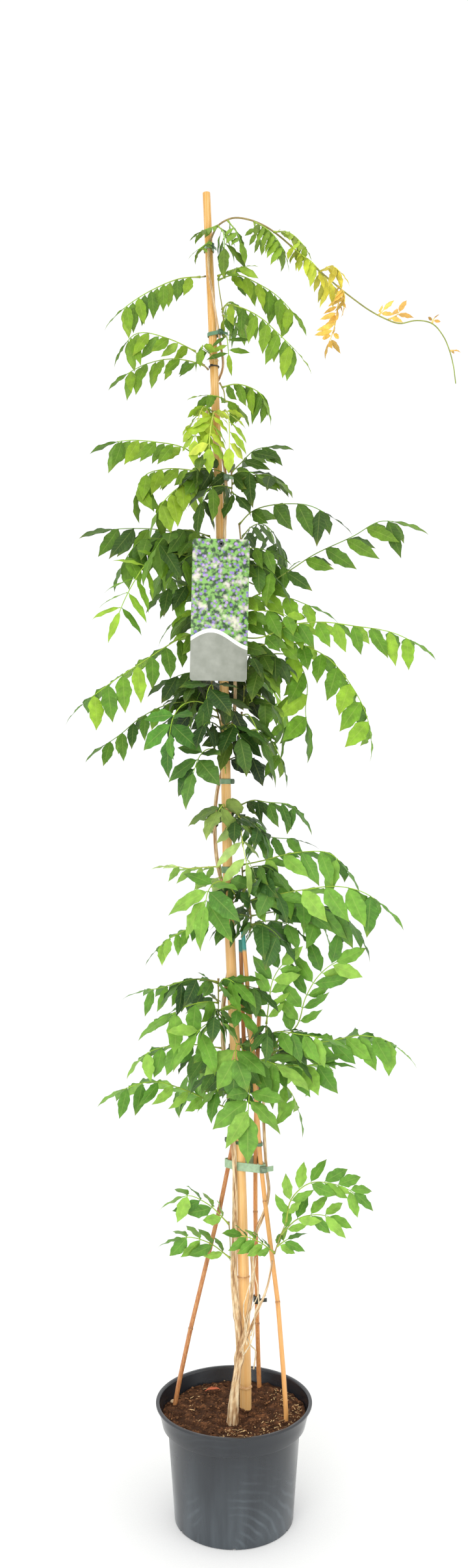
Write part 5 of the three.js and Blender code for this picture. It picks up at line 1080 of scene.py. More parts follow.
# Each frond: leaflet length and width, droop in degrees, bare share of the rib, its path, and where given the
# tilt of its upper face, the turn of its leaflets toward its tip, their twist, and by how many degrees they
# spread as a fan from near the rib's end.
shootTable = {
    "shoot_runner": {"look": "youngLeaf", "stalk": (2.2, [(-37, 1960, -11), (-34, 1966, -12),
        (-27, 1981, -14), (-15, 1992, -15), (5, 1996, -17), (27, 1992, -19), (55, 1979, -22),
        (80, 1959, -24), (110, 1933, -25), (140, 1907, -24), (180, 1874, -22), (220, 1847, -21),
        (258, 1833, -20), (280, 1838, -19), (300, 1836, -19), (320, 1817, -19), (330, 1796, -20),
        (337, 1771, -21), (341, 1741, -22)]),
     "fronds": [
        (25, 9, 20, 0.2, [(-27, 1983, -14), (-50, 1975, -22), (-68, 1961, -26)]),
        (24, 8, 20, 0.2, [(-35, 1957, -12), (-55, 1947, -24), (-73, 1936, -28)]),
        (46, 20, 62, 0.35, [(-24, 1984, -15), (-16, 1972, -34), (-15, 1945, -42), (-14, 1906, -40)]),
        (35, 14, 55, 0.3, [(-8, 1994, -16), (6, 1970, -28), (18, 1928, -32)]),
        (24, 9, 30, 0.3, [(30, 1991, -19), (34, 1972, -10), (46, 1956, -5), (62, 1942, -3)]),
        (32, 14, 50, 0.2, [(36, 1990, -20), (54, 1976, -32), (72, 1954, -40), (86, 1916, -42)]),
        (24, 11, 20, 0.2, [(60, 1977, -22), (82, 1974, -34), (104, 1957, -42), (121, 1931, -44)]),
        (30, 12, 55, 0.15, [(84, 1955, -24), (100, 1942, -34), (122, 1926, -40), (141, 1898, -40)]),
        (42, 13, 60, 0.15, [(128, 1918, -24), (142, 1904, -12), (152, 1892, -4), (156, 1854, -2)]),
        (30, 11, 50, 0.3, [(134, 1913, -24), (150, 1922, -34), (164, 1912, -40), (178, 1892, -42)]),
        (24, 7, 45, 0.25, [(160, 1891, -23), (168, 1884, -30), (168, 1844, -30)]),
        (27, 9, 45, 0.25, [(166, 1886, -22), (160, 1862, -10), (156, 1834, -5), (137, 1780, -2)]),
        (22, 9, 20, 0.2, [(222, 1846, -21), (234, 1858, -28), (246, 1868, -34)]),
        (26, 11, 30, 0.2, [(240, 1838, -20), (254, 1850, -14), (256, 1874, -10)]),
        (12, 5, 20, 0.2, [(302, 1835, -19), (309, 1842, -17), (318, 1842, -15)]),
        (12, 5, 20, 0.2, [(331, 1794, -20), (339, 1792, -18), (347, 1785, -17)]),
    ]},
    "shoot_left_1": {"look": "leaf", "stalk": (1.5, [(-44, 1906, -10), (-48, 1905, -14), (-56, 1905, -18)]),
     "fronds": [
        (43, 18, 66, 0.2, [(-52, 1905, -16), (-80, 1903, -26), (-120, 1888, -34), (-160, 1864, -36),
         (-200, 1828, -32)]),
    ]},
    "shoot_left_2": {"look": "leaf", "stalk": (1.8, [(-39, 1762, -8), (-48, 1770, -12), (-60, 1792, -14)]),
     "fronds": [
        (44, 18, 64, 0.2, [(-60, 1790, -14), (-98, 1809, -26), (-150, 1818, -34), (-184, 1771, -38)]),
        (40, 17, 62, 0.2, [(-46, 1768, -11), (-70, 1776, 0), (-95, 1779, 8), (-135, 1771, 14),
         (-194, 1736, 18)]),
        (35, 16, 55, 0.3, [(-54, 1780, -13), (-48, 1800, -32), (-50, 1796, -44), (-54, 1762, -46)]),
    ]},
    "shoot_right_1": {"look": "leaf", "stalk": (1.7, [(-15, 1812, 4), (-17, 1850, 2), (-22, 1880, 0),
        (-25, 1908, 0)]),
     "fronds": [
        (34, 10, 4, 0.2, [(-16, 1815, 3), (-11, 1812, -10), (-9, 1795, -17), (-7, 1755, -20)], 0, -20, 4),
        (30, 16, 40, 0.3, [(-17, 1846, 2), (-12, 1842, -8), (-7, 1815, -12)]),
        (48, 20, 62, 0.3, [(-18, 1850, 2), (-13, 1862, -14), (10, 1858, -28), (40, 1843, -40),
         (68, 1818, -46), (123, 1763, -50)]),
        (44, 19, 60, 0.28, [(-24, 1900, 0), (-2, 1908, 0), (40, 1893, 6), (65, 1877, 10), (85, 1857, 12),
         (113, 1818, 12)]),
        (33, 14, 20, 0.3, [(-25, 1906, 0), (-8, 1914, -16), (12, 1920, -28), (37, 1922, -34)]),
        (44, 19, 60, 0.25, [(-18, 1856, 2), (-8, 1866, 36), (2, 1862, 80), (10, 1840, 120),
         (14, 1800, 148)]),
    ]},
    "shoot_centre_1": {"look": "leaf", "stalk": (1.8, [(-22, 1742, -6), (-17, 1734, -10), (-14, 1712, -12)]),
     "fronds": [
        (42, 19, 62, 0.2, [(-17, 1736, -9), (0, 1740, -22), (25, 1735, -34), (40, 1726, -40),
         (52, 1679, -44)]),
        (35, 16, 40, 0.3, [(-15, 1716, -12), (-28, 1722, -26), (-46, 1722, -34), (-66, 1706, -38)]),
        (35, 17, 55, 0.2, [(-14, 1714, -12), (-2, 1712, -10), (21, 1676, -10)]),
    ]},
    "shoot_pale": {"look": "paleBacklitLeaf", "stalk": (1.6, [(-38, 1700, -13), (-26, 1697, -16),
        (-12, 1700, -14)]),
     "fronds": [
        (37, 20, 40, 0.12, [(-37, 1700, -13), (-46, 1706, -34), (-56, 1684, -46), (-62, 1619, -50)], 60),
        (37, 20, 40, 0.15, [(-30, 1698, -15), (-32, 1694, -46), (-36, 1672, -62), (-40, 1606, -66)], 60),
        (38, 19, 36, 0.15, [(-14, 1700, -14), (-9, 1694, -36), (-7, 1668, -52), (-9, 1606, -54)], 60),
    ]},
    "shoot_centre_2": {"look": "darkLeaf", "stalk": (1.8, [(-4, 1606, -10), (-3, 1590, -12),
        (-4, 1570, -12)]),
     "fronds": [
        (53, 25, 64, 0.18, [(-4, 1598, -11), (10, 1606, -26), (32, 1602, -38), (48, 1589, -44),
         (67, 1573, -46)]),
        (40, 22, 60, 0.2, [(-4, 1574, -12), (6, 1566, -22), (25, 1540, -28)]),
        (44, 20, 50, 0.25, [(-4, 1604, -10), (10, 1618, 2), (35, 1640, 10), (60, 1642, 16),
         (85, 1626, 20)]),
        (51, 25, 60, 0.3, [(-4, 1580, -12), (-20, 1584, -30), (-40, 1578, -42), (-50, 1556, -48),
         (-52, 1508, -48)]),
    ]},
    "shoot_left_3": {"look": "leaf", "stalk": (1.9, [(-37, 1596, 2), (-38, 1606, 0), (-42, 1616, -2)]),
     "fronds": [
        (46, 19, 66, 0.42, [(-42, 1615, -2), (-50, 1622, -8), (-75, 1641, -18), (-120, 1651, -26),
         (-170, 1653, -30), (-220, 1638, -34)]),
        (48, 22, 62, 0.3, [(-38, 1604, 0), (-60, 1607, 10), (-110, 1609, 18), (-135, 1601, 22),
         (-147, 1584, 24), (-142, 1530, 26)]),
        (51, 26, 56, 0.2, [(-38, 1599, 1), (-52, 1596, -18), (-84, 1582, -30), (-112, 1554, -36),
         (-126, 1502, -38)]),
        (51, 23, 62, 0.25, [(-38, 1600, 1), (-46, 1612, 40), (-60, 1612, 90), (-76, 1590, 140),
         (-86, 1545, 176)]),
    ]},
    "shoot_left_4": {"look": "darkLeaf", "stalk": (2, [(-34, 1478, 6), (-34, 1494, 5), (-38, 1508, 2)]),
     "fronds": [
        (57, 24, 68, 0.35, [(-34, 1490, 5), (-90, 1512, 20), (-145, 1518, 28), (-190, 1516, 32),
         (-235, 1507, 34)]),
        (51, 24, 60, 0.4, [(-34, 1484, 5), (-90, 1498, 2), (-142, 1500, -8), (-166, 1472, -14),
         (-182, 1424, -16)]),
        (62, 29, 60, 0.3, [(-38, 1506, 2), (-75, 1516, -22), (-104, 1508, -44), (-124, 1478, -52),
         (-128, 1432, -54)]),
        (52, 24, 62, 0.25, [(-34, 1480, 5), (-46, 1482, -16), (-78, 1470, -32), (-96, 1420, -38)]),
        (55, 25, 62, 0.25, [(-34, 1482, 6), (-56, 1488, 56), (-84, 1480, 104), (-110, 1454, 146),
         (-124, 1404, 178)]),
    ]},
    "shoot_left_5": {"look": "leaf", "stalk": (2, [(-33, 1452, 8), (-31, 1400, 10), (-28, 1345, 10)]),
     "fronds": [
        (50, 15, 8, 0.2, [(-33, 1448, 8), (-80, 1478, -6), (-132, 1466, -32), (-155, 1434, -42),
         (-179, 1382, -48), (-190, 1345, -50)], 80, 6, 52),
        (55, 26, 68, 0.25, [(-28, 1348, 10), (-70, 1354, 0), (-102, 1338, -16), (-140, 1313, -26),
         (-170, 1294, -32), (-262, 1226, -38)]),
        (50, 24, 62, 0.25, [(-32, 1430, 9), (-50, 1436, 24), (-84, 1424, 30), (-104, 1378, 30)]),
        (50, 24, 62, 0.25, [(-31, 1388, 10), (-52, 1394, 18), (-88, 1380, 16), (-104, 1336, 12)]),
    ]},
    "shoot_left_6": {"look": "darkLeaf", "stalk": (2, [(-34, 1300, 14), (-34, 1270, 16), (-33, 1240, 18)]),
     "fronds": [
        (44, 19, 55, 0.35, [(-33, 1246, 18), (-90, 1250, 20), (-145, 1226, 22), (-175, 1201, 24),
         (-230, 1166, 26)]),
        (51, 25, 62, 0.3, [(-34, 1292, 14), (-70, 1296, 26), (-100, 1284, 32), (-126, 1256, 34)]),
        (52, 26, 62, 0.2, [(-34, 1268, 16), (-46, 1272, 0), (-56, 1258, -12), (-60, 1206, -16)]),
        (52, 26, 62, 0.2, [(-33, 1246, 18), (-31, 1254, 0), (-18, 1256, -18), (-2, 1240, -28),
         (3, 1190, -30)]),
        (52, 26, 62, 0.2, [(-34, 1285, 15), (-50, 1292, 6), (-74, 1280, 0), (-84, 1232, -4)]),
        (55, 26, 60, 0.25, [(-34, 1268, 16), (-40, 1284, 60), (-52, 1286, 110), (-64, 1262, 158),
         (-70, 1212, 192)]),
    ]},
    "shoot_front_1": {"look": "leaf", "stalk": (2, [(-32, 1262, -6), (-26, 1238, -12), (-16, 1190, -14),
        (-13, 1141, -12)]),
     "fronds": [
        (60, 33, 20, 0.3, [(-26, 1238, -12), (-56, 1252, -40), (-80, 1246, -62), (-94, 1226, -76),
         (-98, 1208, -82), (-104, 1138, -92)], 0, 8, 6, 24),
        (56, 34, 20, 0.3, [(-14, 1150, -13), (-26, 1176, -38), (-42, 1178, -56), (-54, 1166, -68),
         (-60, 1150, -74), (-76, 1090, -82)], 0, 8, 6, 24),
        (60, 34, 20, 0.3, [(-31, 1260, -7), (-34, 1278, -28), (-39, 1272, -42), (-43, 1254, -50),
         (-50, 1196, -58)], 0, 8, 6, 18),
        (60, 34, 20, 0.3, [(-17, 1196, -14), (-6, 1218, -32), (2, 1214, -44), (8, 1198, -50),
         (14, 1140, -58)], 0, 8, 6, 18),
    ]},
    "shoot_front_2": {"look": "paleBacklitLeaf", "stalk": (1.8, [(-16, 1086, -9), (-8, 1084, -10), (4, 1080, -8)]),
     "fronds": [
        (55, 36, 50, 0.3, [(-14, 1086, -9), (-16, 1094, -32), (-26, 1080, -48), (-38, 1036, -54)]),
        (53, 17, 38, 0.15, [(3, 1081, -8), (8, 1074, -26), (11, 1050, -34), (20, 1000, -38),
         (33, 956, -38)]),
    ]},
    "shoot_left_7": {"look": "paleBacklitLeaf", "stalk": (1.6, [(-22, 1004, -12), (-18, 978, -13)]),
     "fronds": [
        (37, 12, 30, 0.25, [(-21, 998, -12), (-45, 997, -16), (-70, 995, -20), (-95, 998, -26),
         (-120, 981, -28)]),
        (40, 24, 50, 0.3, [(-19, 982, -13), (-36, 976, -26), (-52, 950, -30)]),
    ]},
    "shoot_front_3": {"look": "leaf", "stalk": (2, [(4, 954, -12), (-8, 940, -14), (-20, 920, -10)]),
     "fronds": [
        (68, 31, 18, 0.35, [(3, 953, -12), (-12, 972, -38), (-28, 974, -60), (-40, 960, -74),
         (-44, 942, -82), (-58, 874, -92)], 0, 6, 6, 26),
        (33, 14, 30, 0.45, [(-18, 924, -11), (-55, 908, -20), (-95, 890, -26), (-138, 851, -30)]),
    ]},
    "shoot_right_2": {"look": "darkLeaf", "stalk": (1.9, [(8, 1526, 2), (10, 1510, 4), (10, 1480, 6),
        (10, 1440, 8)]),
     "fronds": [
        (55, 23, 64, 0.35, [(8, 1524, 2), (26, 1543, -12), (80, 1556, -24), (120, 1552, -30),
         (140, 1542, -32), (183, 1518, -34)]),
        (59, 23, 66, 0.28, [(10, 1442, 8), (40, 1430, 14), (80, 1450, 12), (120, 1476, 8), (185, 1507, 0),
         (225, 1529, -6), (295, 1510, -10)]),
        (40, 19, 58, 0.2, [(10, 1484, 6), (30, 1488, -4), (56, 1482, -8), (85, 1460, -10)]),
        (42, 20, 58, 0.25, [(10, 1470, 6), (28, 1468, 22), (70, 1462, 32), (110, 1431, 36)]),
        (52, 25, 60, 0.25, [(10, 1456, 7), (30, 1462, -4), (60, 1448, -12), (76, 1400, -14)]),
        (53, 24, 62, 0.25, [(10, 1500, 5), (26, 1520, 50), (46, 1524, 100), (66, 1502, 146),
         (76, 1450, 184)]),
    ]},
    "shoot_right_3": {"look": "leaf", "stalk": (2, [(8, 1412, 8), (6, 1370, 10), (4, 1330, 12),
        (6, 1290, 12)]),
     "fronds": [
        (42, 22, 60, 0.2, [(8, 1408, 8), (26, 1412, 2), (40, 1404, -2), (46, 1384, -4)]),
        (53, 26, 60, 0.25, [(7, 1398, 9), (42, 1418, 22), (82, 1412, 28), (122, 1397, 30),
         (162, 1386, 30)]),
        (46, 23, 60, 0.3, [(6, 1372, 10), (46, 1376, 14), (84, 1372, 14), (112, 1362, 12),
         (130, 1336, 10)]),
        (50, 22, 66, 0.3, [(5, 1350, 11), (40, 1350, -8), (90, 1370, -20), (137, 1374, -26),
         (185, 1368, -30), (240, 1359, -32), (312, 1324, -34)]),
        (51, 30, 60, 0.2, [(5, 1300, 12), (22, 1310, -6), (44, 1297, -14), (56, 1252, -16)]),
        (52, 26, 60, 0.2, [(4, 1334, 12), (22, 1342, 22), (50, 1334, 26), (68, 1286, 26)]),
        (52, 25, 60, 0.3, [(6, 1385, 10), (40, 1392, -4), (80, 1384, -10), (104, 1334, -12)]),
    ]},
    "shoot_right_4": {"look": "leaf", "stalk": (2, [(16, 1330, 22), (16, 1280, 22), (14, 1240, 20)]),
     "fronds": [
        (55, 29, 56, 0.4, [(16, 1322, 22), (36, 1336, 18), (82, 1343, 10), (140, 1322, 2), (180, 1277, -4),
         (202, 1236, -6), (215, 1164, -8)]),
        (66, 32, 56, 0.68, [(16, 1312, 22), (50, 1324, 34), (92, 1320, 42), (112, 1282, 44),
         (110, 1236, 44), (126, 1163, 44)]),
        (55, 14, 40, 0.3, [(14, 1246, 20), (40, 1256, 20), (66, 1240, 20), (76, 1162, 20)]),
        (52, 26, 60, 0.2, [(15, 1256, 21), (30, 1264, 8), (50, 1254, 2), (60, 1204, 0)]),
        (52, 26, 60, 0.2, [(16, 1300, 22), (36, 1310, 32), (66, 1300, 36), (84, 1254, 36)]),
        (55, 26, 60, 0.25, [(15, 1272, 22), (24, 1286, 70), (44, 1284, 120), (66, 1256, 166),
         (76, 1202, 196)]),
    ]},
    "shoot_front_4": {"look": "leaf", "stalk": (1.9, [(12, 1236, -2), (10, 1218, -4), (10, 1196, -2)]),
     "fronds": [
        (86, 30, 50, 0.2, [(11, 1230, -3), (22, 1232, -24), (38, 1202, -36), (62, 1126, -40)]),
        (46, 22, 52, 0.25, [(10, 1204, -3), (42, 1208, 4), (64, 1180, 4), (85, 1124, 2)]),
        (52, 26, 60, 0.2, [(10, 1200, -3), (1, 1209, -20), (-6, 1196, -28), (-9, 1146, -30)]),
    ]},
    "shoot_right_5": {"look": "darkLeaf", "stalk": (1.9, [(8, 1094, 6), (8, 1070, 8), (6, 1050, 8)]),
     "fronds": [
        (44, 18, 60, 0.25, [(8, 1092, 6), (30, 1100, -6), (50, 1097, -18), (90, 1091, -30),
         (116, 1048, -34)]),
        (46, 16, 48, 0.3, [(7, 1060, 8), (30, 1058, 20), (55, 1044, 26), (90, 1040, 30), (127, 1026, 32)]),
        (46, 24, 56, 0.2, [(7, 1074, 8), (24, 1074, -4), (42, 1050, -10), (46, 1010, -12)]),
        (51, 23, 60, 0.25, [(7, 1064, 8), (12, 1074, 56), (26, 1072, 104), (44, 1048, 148),
         (54, 1002, 178)]),
    ]},
    "shoot_right_6": {"look": "leaf", "stalk": (2, [(12, 1004, 6), (14, 970, 10), (16, 936, 14)]),
     "fronds": [
        (57, 26, 64, 0.4, [(12, 1000, 6), (35, 1005, 2), (100, 1020, -8), (145, 1019, -14),
         (193, 961, -18)]),
        (64, 30, 66, 0.25, [(15, 944, 13), (42, 950, -10), (105, 962, -30), (165, 967, -40),
         (200, 958, -44), (257, 904, -46)]),
        (61, 31, 60, 0.25, [(14, 968, 10), (50, 970, 22), (95, 960, 30), (130, 922, 36), (145, 866, 38)]),
        (59, 29, 60, 0.25, [(14, 960, 11), (34, 978, 58), (60, 980, 106), (92, 958, 152),
         (116, 902, 186)]),
    ]},
    "shoot_right_7": {"look": "darkLeaf", "stalk": (2, [(24, 938, 0), (26, 916, 0), (24, 896, -2)]),
     "fronds": [
        (66, 28, 62, 0.5, [(25, 922, 0), (60, 928, 16), (120, 936, 28), (165, 926, 34), (188, 896, 38),
         (182, 852, 40)]),
        (55, 32, 52, 0.15, [(24, 902, -2), (36, 910, -22), (56, 902, -36), (76, 880, -46),
         (84, 836, -48)]),
        (53, 32, 50, 0.15, [(25, 934, 0), (26, 972, -14), (40, 984, -26), (60, 966, -34), (70, 912, -36)]),
        (52, 26, 60, 0.2, [(24, 908, 0), (46, 914, 8), (84, 908, 14), (112, 866, 16)]),
    ]},
    "shoot_left_8": {"look": "leaf", "stalk": (2, [(-24, 826, -6), (-24, 800, -8), (-24, 768, -10)]),
     "fronds": [
        (42, 16, 56, 0.2, [(-24, 820, -6), (-40, 824, -4), (-75, 822, -4), (-115, 811, -6),
         (-170, 802, -8)]),
        (62, 31, 56, 0.2, [(-24, 788, -9), (-44, 790, -26), (-75, 782, -40), (-100, 768, -48),
         (-150, 744, -54)]),
        (66, 32, 50, 0.3, [(-24, 770, -10), (-32, 762, -40), (-52, 748, -66), (-70, 722, -80),
         (-88, 684, -84)]),
        (52, 26, 60, 0.2, [(-24, 776, -10), (-6, 784, -22), (10, 774, -30), (18, 726, -32)]),
        (52, 26, 60, 0.2, [(-24, 814, -7), (-14, 826, -24), (0, 820, -34), (8, 772, -38)]),
    ]},
    "shoot_left_9": {"look": "leaf", "stalk": (2, [(-18, 722, 12), (-16, 690, 12), (-10, 640, 14),
        (-8, 618, 14)]),
     "fronds": [
        (45, 23, 66, 0.3, [(-18, 718, 12), (-60, 724, 8), (-98, 722, 4), (-132, 712, 2), (-162, 673, 2)]),
        (46, 22, 66, 0.42, [(-8, 626, 14), (-30, 634, 10), (-70, 652, 2), (-125, 667, -4), (-170, 655, -8),
         (-208, 632, -10)]),
        (48, 30, 58, 0.2, [(-12, 660, 13), (-20, 664, -6), (-28, 644, -20), (-32, 606, -24)]),
        (55, 28, 60, 0.25, [(-14, 676, 12), (-34, 690, 56), (-56, 690, 104), (-76, 668, 148),
         (-86, 620, 178)]),
    ]},
    "shoot_front_5": {"look": "leaf", "stalk": (2, [(14, 706, -18), (16, 680, -19), (20, 642, -20)]),
     "fronds": [
        (58, 34, 18, 0.4, [(14, 700, -18), (10, 724, -44), (4, 724, -64), (2, 710, -78), (1, 694, -86),
         (4, 637, -96)], 0, 8, 6, 24),
        (68, 35, 18, 0.4, [(19, 648, -20), (22, 666, -50), (24, 660, -80), (23, 642, -106), (22, 622, -120),
         (20, 546, -140)], 0, 10, 6, 22),
        (62, 30, 56, 0.3, [(16, 684, -19), (36, 700, -38), (62, 694, -54), (84, 676, -64),
         (102, 646, -66)]),
    ]},
    "shoot_right_8": {"look": "leaf", "stalk": (2, [(52, 700, -2), (48, 730, -2), (50, 760, -4)]),
     "fronds": [
        (44, 21, 12, 0.2, [(50, 756, -4), (54, 790, -8), (60, 824, -8), (76, 848, -8),
         (112, 858, -10)], 62, 0, 6),
        (48, 23, 56, 0.25, [(49, 736, -2), (66, 744, -16), (100, 740, -26), (140, 732, -32),
         (172, 714, -34)]),
    ]},
    "shoot_right_9": {"look": "leaf", "stalk": (2, [(58, 690, 14), (60, 716, 14), (66, 730, 14)]),
     "fronds": [
        (54, 24, 12, 0.3, [(64, 728, 14), (96, 752, 18), (110, 796, 20), (132, 832, 22), (160, 852, 24),
         (205, 846, 26)], 62, 2, 4),
        (55, 29, 64, 0.45, [(60, 712, 14), (92, 722, 26), (150, 730, 34), (195, 738, 38), (235, 730, 40),
         (275, 690, 42)]),
        (53, 28, 62, 0.35, [(58, 696, 14), (80, 692, 2), (112, 692, -6), (148, 692, -10),
         (172, 664, -12)]),
        (53, 18, 50, 0.3, [(58, 692, 14), (70, 672, 14), (88, 650, 12), (108, 586, 10)]),
        (55, 26, 60, 0.25, [(60, 704, 14), (70, 722, 60), (86, 722, 106), (104, 700, 150),
         (112, 650, 180)]),
    ]},
    "shoot_low_left": {"look": "leaf", "stalk": (1.5, [(-8, 452, -20), (-6, 424, -22), (-6, 392, -22)]),
     "fronds": [
        (43, 23, 76, 0.3, [(-8, 448, -20), (-42, 480, -22), (-70, 492, -22), (-110, 466, -22)]),
        (41, 21, 76, 0.3, [(-6, 396, -22), (-40, 420, -30), (-70, 428, -34), (-115, 412, -36)]),
    ]},
    "shoot_low_right": {"look": "leaf", "stalk": (1.5, [(62, 402, -51), (70, 426, -52), (82, 456, -52)]),
     "fronds": [
        (42, 20, 14, 0.15, [(80, 452, -52), (88, 486, -52), (114, 510, -50), (165, 506, -48),
         (215, 471, -46)], 50, 22),
        (31, 19, 50, 0.3, [(63, 404, -51), (40, 420, -56), (15, 430, -58), (-16, 436, -58)]),
        (33, 16, 40, 0.3, [(66, 414, -52), (86, 426, -44), (112, 424, -38)]),
        (42, 18, 16, 0.25, [(72, 432, -52), (98, 456, -40), (136, 462, -32), (180, 440, -28)], 50, 22),
    ]},
}
leafLook = {
    "stalkShare": 0.68, "angle": 62, "reach": 1.2, "curl": 0.13, "ribShare": 0.94, "thick": 0.4,
    "foot": 5, "back": 6, "outward": 0.35, "steepest": 80, "bare": 0.6, "narrower": 0.87,
    "droopSpread": 15, "twistSpread": 26, "turnSpread": 12, "frondTwist": 14, "fanDepth": 36, "fanLift": 44,
    "ribRadius": (1.1, 0.6), "fold": 0.08, "ruffle": 0.07, "ragged": 0.11, "coil": 60, "sway": 0.14,
    "stalkPitch": 26, "underside": (60, 70, 50), "tip": (168, 162, 60), "wood": (150, 126, 84),
    "vein": (190, 206, 110),
}
# Leaflets along a rib stand this far apart, as a share of their length, and how far those on the rib's far
# side hang, as a share of those on its near side.
leafPitch = {
    "usual": (0.56, 0.25), "shoot_runner": (0.34, 0.6), "shoot_left_1": (0.48, 0.9),
    "shoot_left_2": (0.62, 0.9), "shoot_left_3": (0.5, 0.6), "shoot_right_1": (0.5, 0.8),
    "shoot_centre_1": (0.5, 0.6), "shoot_pale": (0.42, 0.5), "shoot_centre_2": (0.45, 0.4),
    "shoot_left_4": (0.46, 0.4), "shoot_left_5": (0.5, 0), "shoot_left_6": (0.5, 0.3),
    "shoot_right_5": (0.46, 0.3),
    "shoot_right_7": (0.46, 0.3), "shoot_front_1": (0.5, 0.3), "shoot_front_3": (0.5, 0.3),
    "shoot_front_5": (0.5, 0.3), "shoot_right_8": (0.42, 0), "shoot_right_9": (0.42, 0.2),
    "shoot_low_right": (0.45, 0), "shoot_low_left": (0.5, 0),
}
# Short fronds close round the stalks, where the plant is dense: how many on each shoot.
innerFronds = {
    "shoot_left_3": 2, "shoot_left_4": 4, "shoot_left_5": 4, "shoot_left_6": 5, "shoot_front_1": 3,
    "shoot_right_2": 1, "shoot_right_3": 2, "shoot_right_4": 2, "shoot_right_5": 2, "shoot_right_6": 4,
    "shoot_right_7": 3, "shoot_left_8": 4, "shoot_left_9": 3, "shoot_front_5": 2, "shoot_right_8": 2,
    "shoot_right_9": 2, "shoot_centre_2": 2,
}
innerLook = {
    "length": 46, "width": 23, "droop": 62, "bare": 0.3, "reach": (62, 100), "rise": 9, "fall": 34,
    # How much darker the inner fronds are painted, as shade.
    "dark": 0.72,
}
# The dark leaf colours are a darker copy of the usual leaf: painted shade. The pale leaf colours are partly
# the paler colour of young leaves and partly painted light shining through the blades.
leafColours = {
    "leaf": ((112, 162, 34), (150, 192, 50), (78, 126, 26)),
    "darkLeaf": ((72, 116, 26), (104, 150, 36), (48, 84, 20)),
    "paleBacklitLeaf": ((168, 200, 66), (196, 216, 92), (136, 176, 52)),
}
leafSlots = {"leaf": "leaf", "darkLeaf": "dark_leaf", "paleBacklitLeaf": "pale_leaf", "youngLeaf": "young_leaf"}
# How leaves are tinted: red, green and blue by height, darker toward the top as painted shade against the
# stronger light there, and darker near the middle of the plant as painted shade.
leafTones = (
    (0, (0.93, 0.98, 2.1)), (1050, (0.93, 0.98, 2.1)), (1120, (1.0, 0.97, 1.1)), (1420, (1.08, 1.02, 1.15)),
    (1520, (0.9, 0.8, 0.65)), (2100, (0.88, 0.78, 0.6)),
)
# shoot_pale is made brighter still, partly for its young leaves and partly as painted light shining through
# them.
shootTones = {
    "shoot_pale": (1.3, 1.38, 1.15), "shoot_front_1": (0.52, 0.74, 1.2), "shoot_front_5": (0.95, 0.92, 1.05),
}
# How far and how strongly leaves near the plant's middle are painted darker, as shade.
leafDepths = {
    "flatter": 0.55, "distances": (42, 112), "shade": 0.7, "heights": (1020, 1110, 1290, 1400),
    "most": (0.1, 1, 1, 0.15),
}
# The runner's leaves turn from green to yellow and bronze toward its tip: where each colour is reached.
runnerColours = (
    (20, (118, 166, 46)), (58, (150, 186, 56)), (88, (182, 204, 66)), (126, (206, 210, 78)),
    (140, (232, 206, 92)), (162, (236, 196, 98)), (250, (234, 190, 104)),
)
# What a leaflet tries in turn to stay clear of others: more droop, a turn ahead, and its size.
leafTurns = (
    (0, 0, 1), (12, 0, 1), (-14, 0, 1), (0, 16, 1), (0, -14, 1), (12, 16, 1), (-14, 16, 1), (-30, 0, 0.95),
    (-30, 18, 0.95), (-46, 8, 0.9), (14, 24, 0.85), (-14, 24, 0.8), (0, 0, 0.7), (-30, 0, 0.7),
    (-60, 10, 0.7), (0, 20, 0.55), (-30, 20, 0.55),
)
# The outline of half a leaflet: shares of its length and of its half width.
halfWidths = (
    (0, 0.05), (0.03, 0.06), (0.06, 0.2), (0.1, 0.42), (0.16, 0.65), (0.24, 0.85), (0.34, 0.97), (0.45, 1.0),
    (0.56, 0.95), (0.66, 0.84), (0.75, 0.68), (0.83, 0.47), (0.89, 0.29), (0.94, 0.15), (0.975, 0.07),
    (1.0, 0.012),
)
rowShares, rowWidths = np.array(halfWidths).T.copy()
columnShares = np.array((-1, -0.62, -0.28, 0, 0.28, 0.62, 1))


# The colour at a place between stops.
def colourAt(stops, where):
    spots = [spot for spot, colour in stops]
    return np.array([np.interp(where, spots, [colour[i] for spot, colour in stops]) for i in range(3)])


# The rib's middle and heading, and the upward and sideward directions of its leaflets.
def ribFrame(path, s, tilt):
    centre, heading = path.at(s), path.heading(s)
    outward = unit(np.array((centre[0], centre[1], 0)))
    up = np.array((0, -math.sin(tilt), math.cos(tilt))) + leafLook["outward"] * outward
    up = unit(up - heading * up.dot(heading))
    return centre, heading, up, cross(heading, up)


# Where a leaflet grows from and the directions along, across and out of its blade.
def leafletAxes(frame, side, droop, forward, twist):
    centre, heading, up, right = frame
    lean = math.radians(droop)
    away = math.radians(leafLook["angle"] - forward) if side else 0
    sideways = right * (side or 1) * math.cos(lean) - up * math.sin(lean)
    along = heading * math.cos(away) + sideways * math.sin(away)
    flat = heading * math.sin(away) - sideways * math.cos(away) if side else right
    facing = up if not side else cross(flat, along) if side < 0 else cross(along, flat)
    turn = math.radians(twist)
    across = flat * math.cos(turn) + facing * math.sin(turn)
    normal = facing * math.cos(turn) - flat * math.sin(turn)
    return centre + right * side * leafLook["reach"], along, across, normal


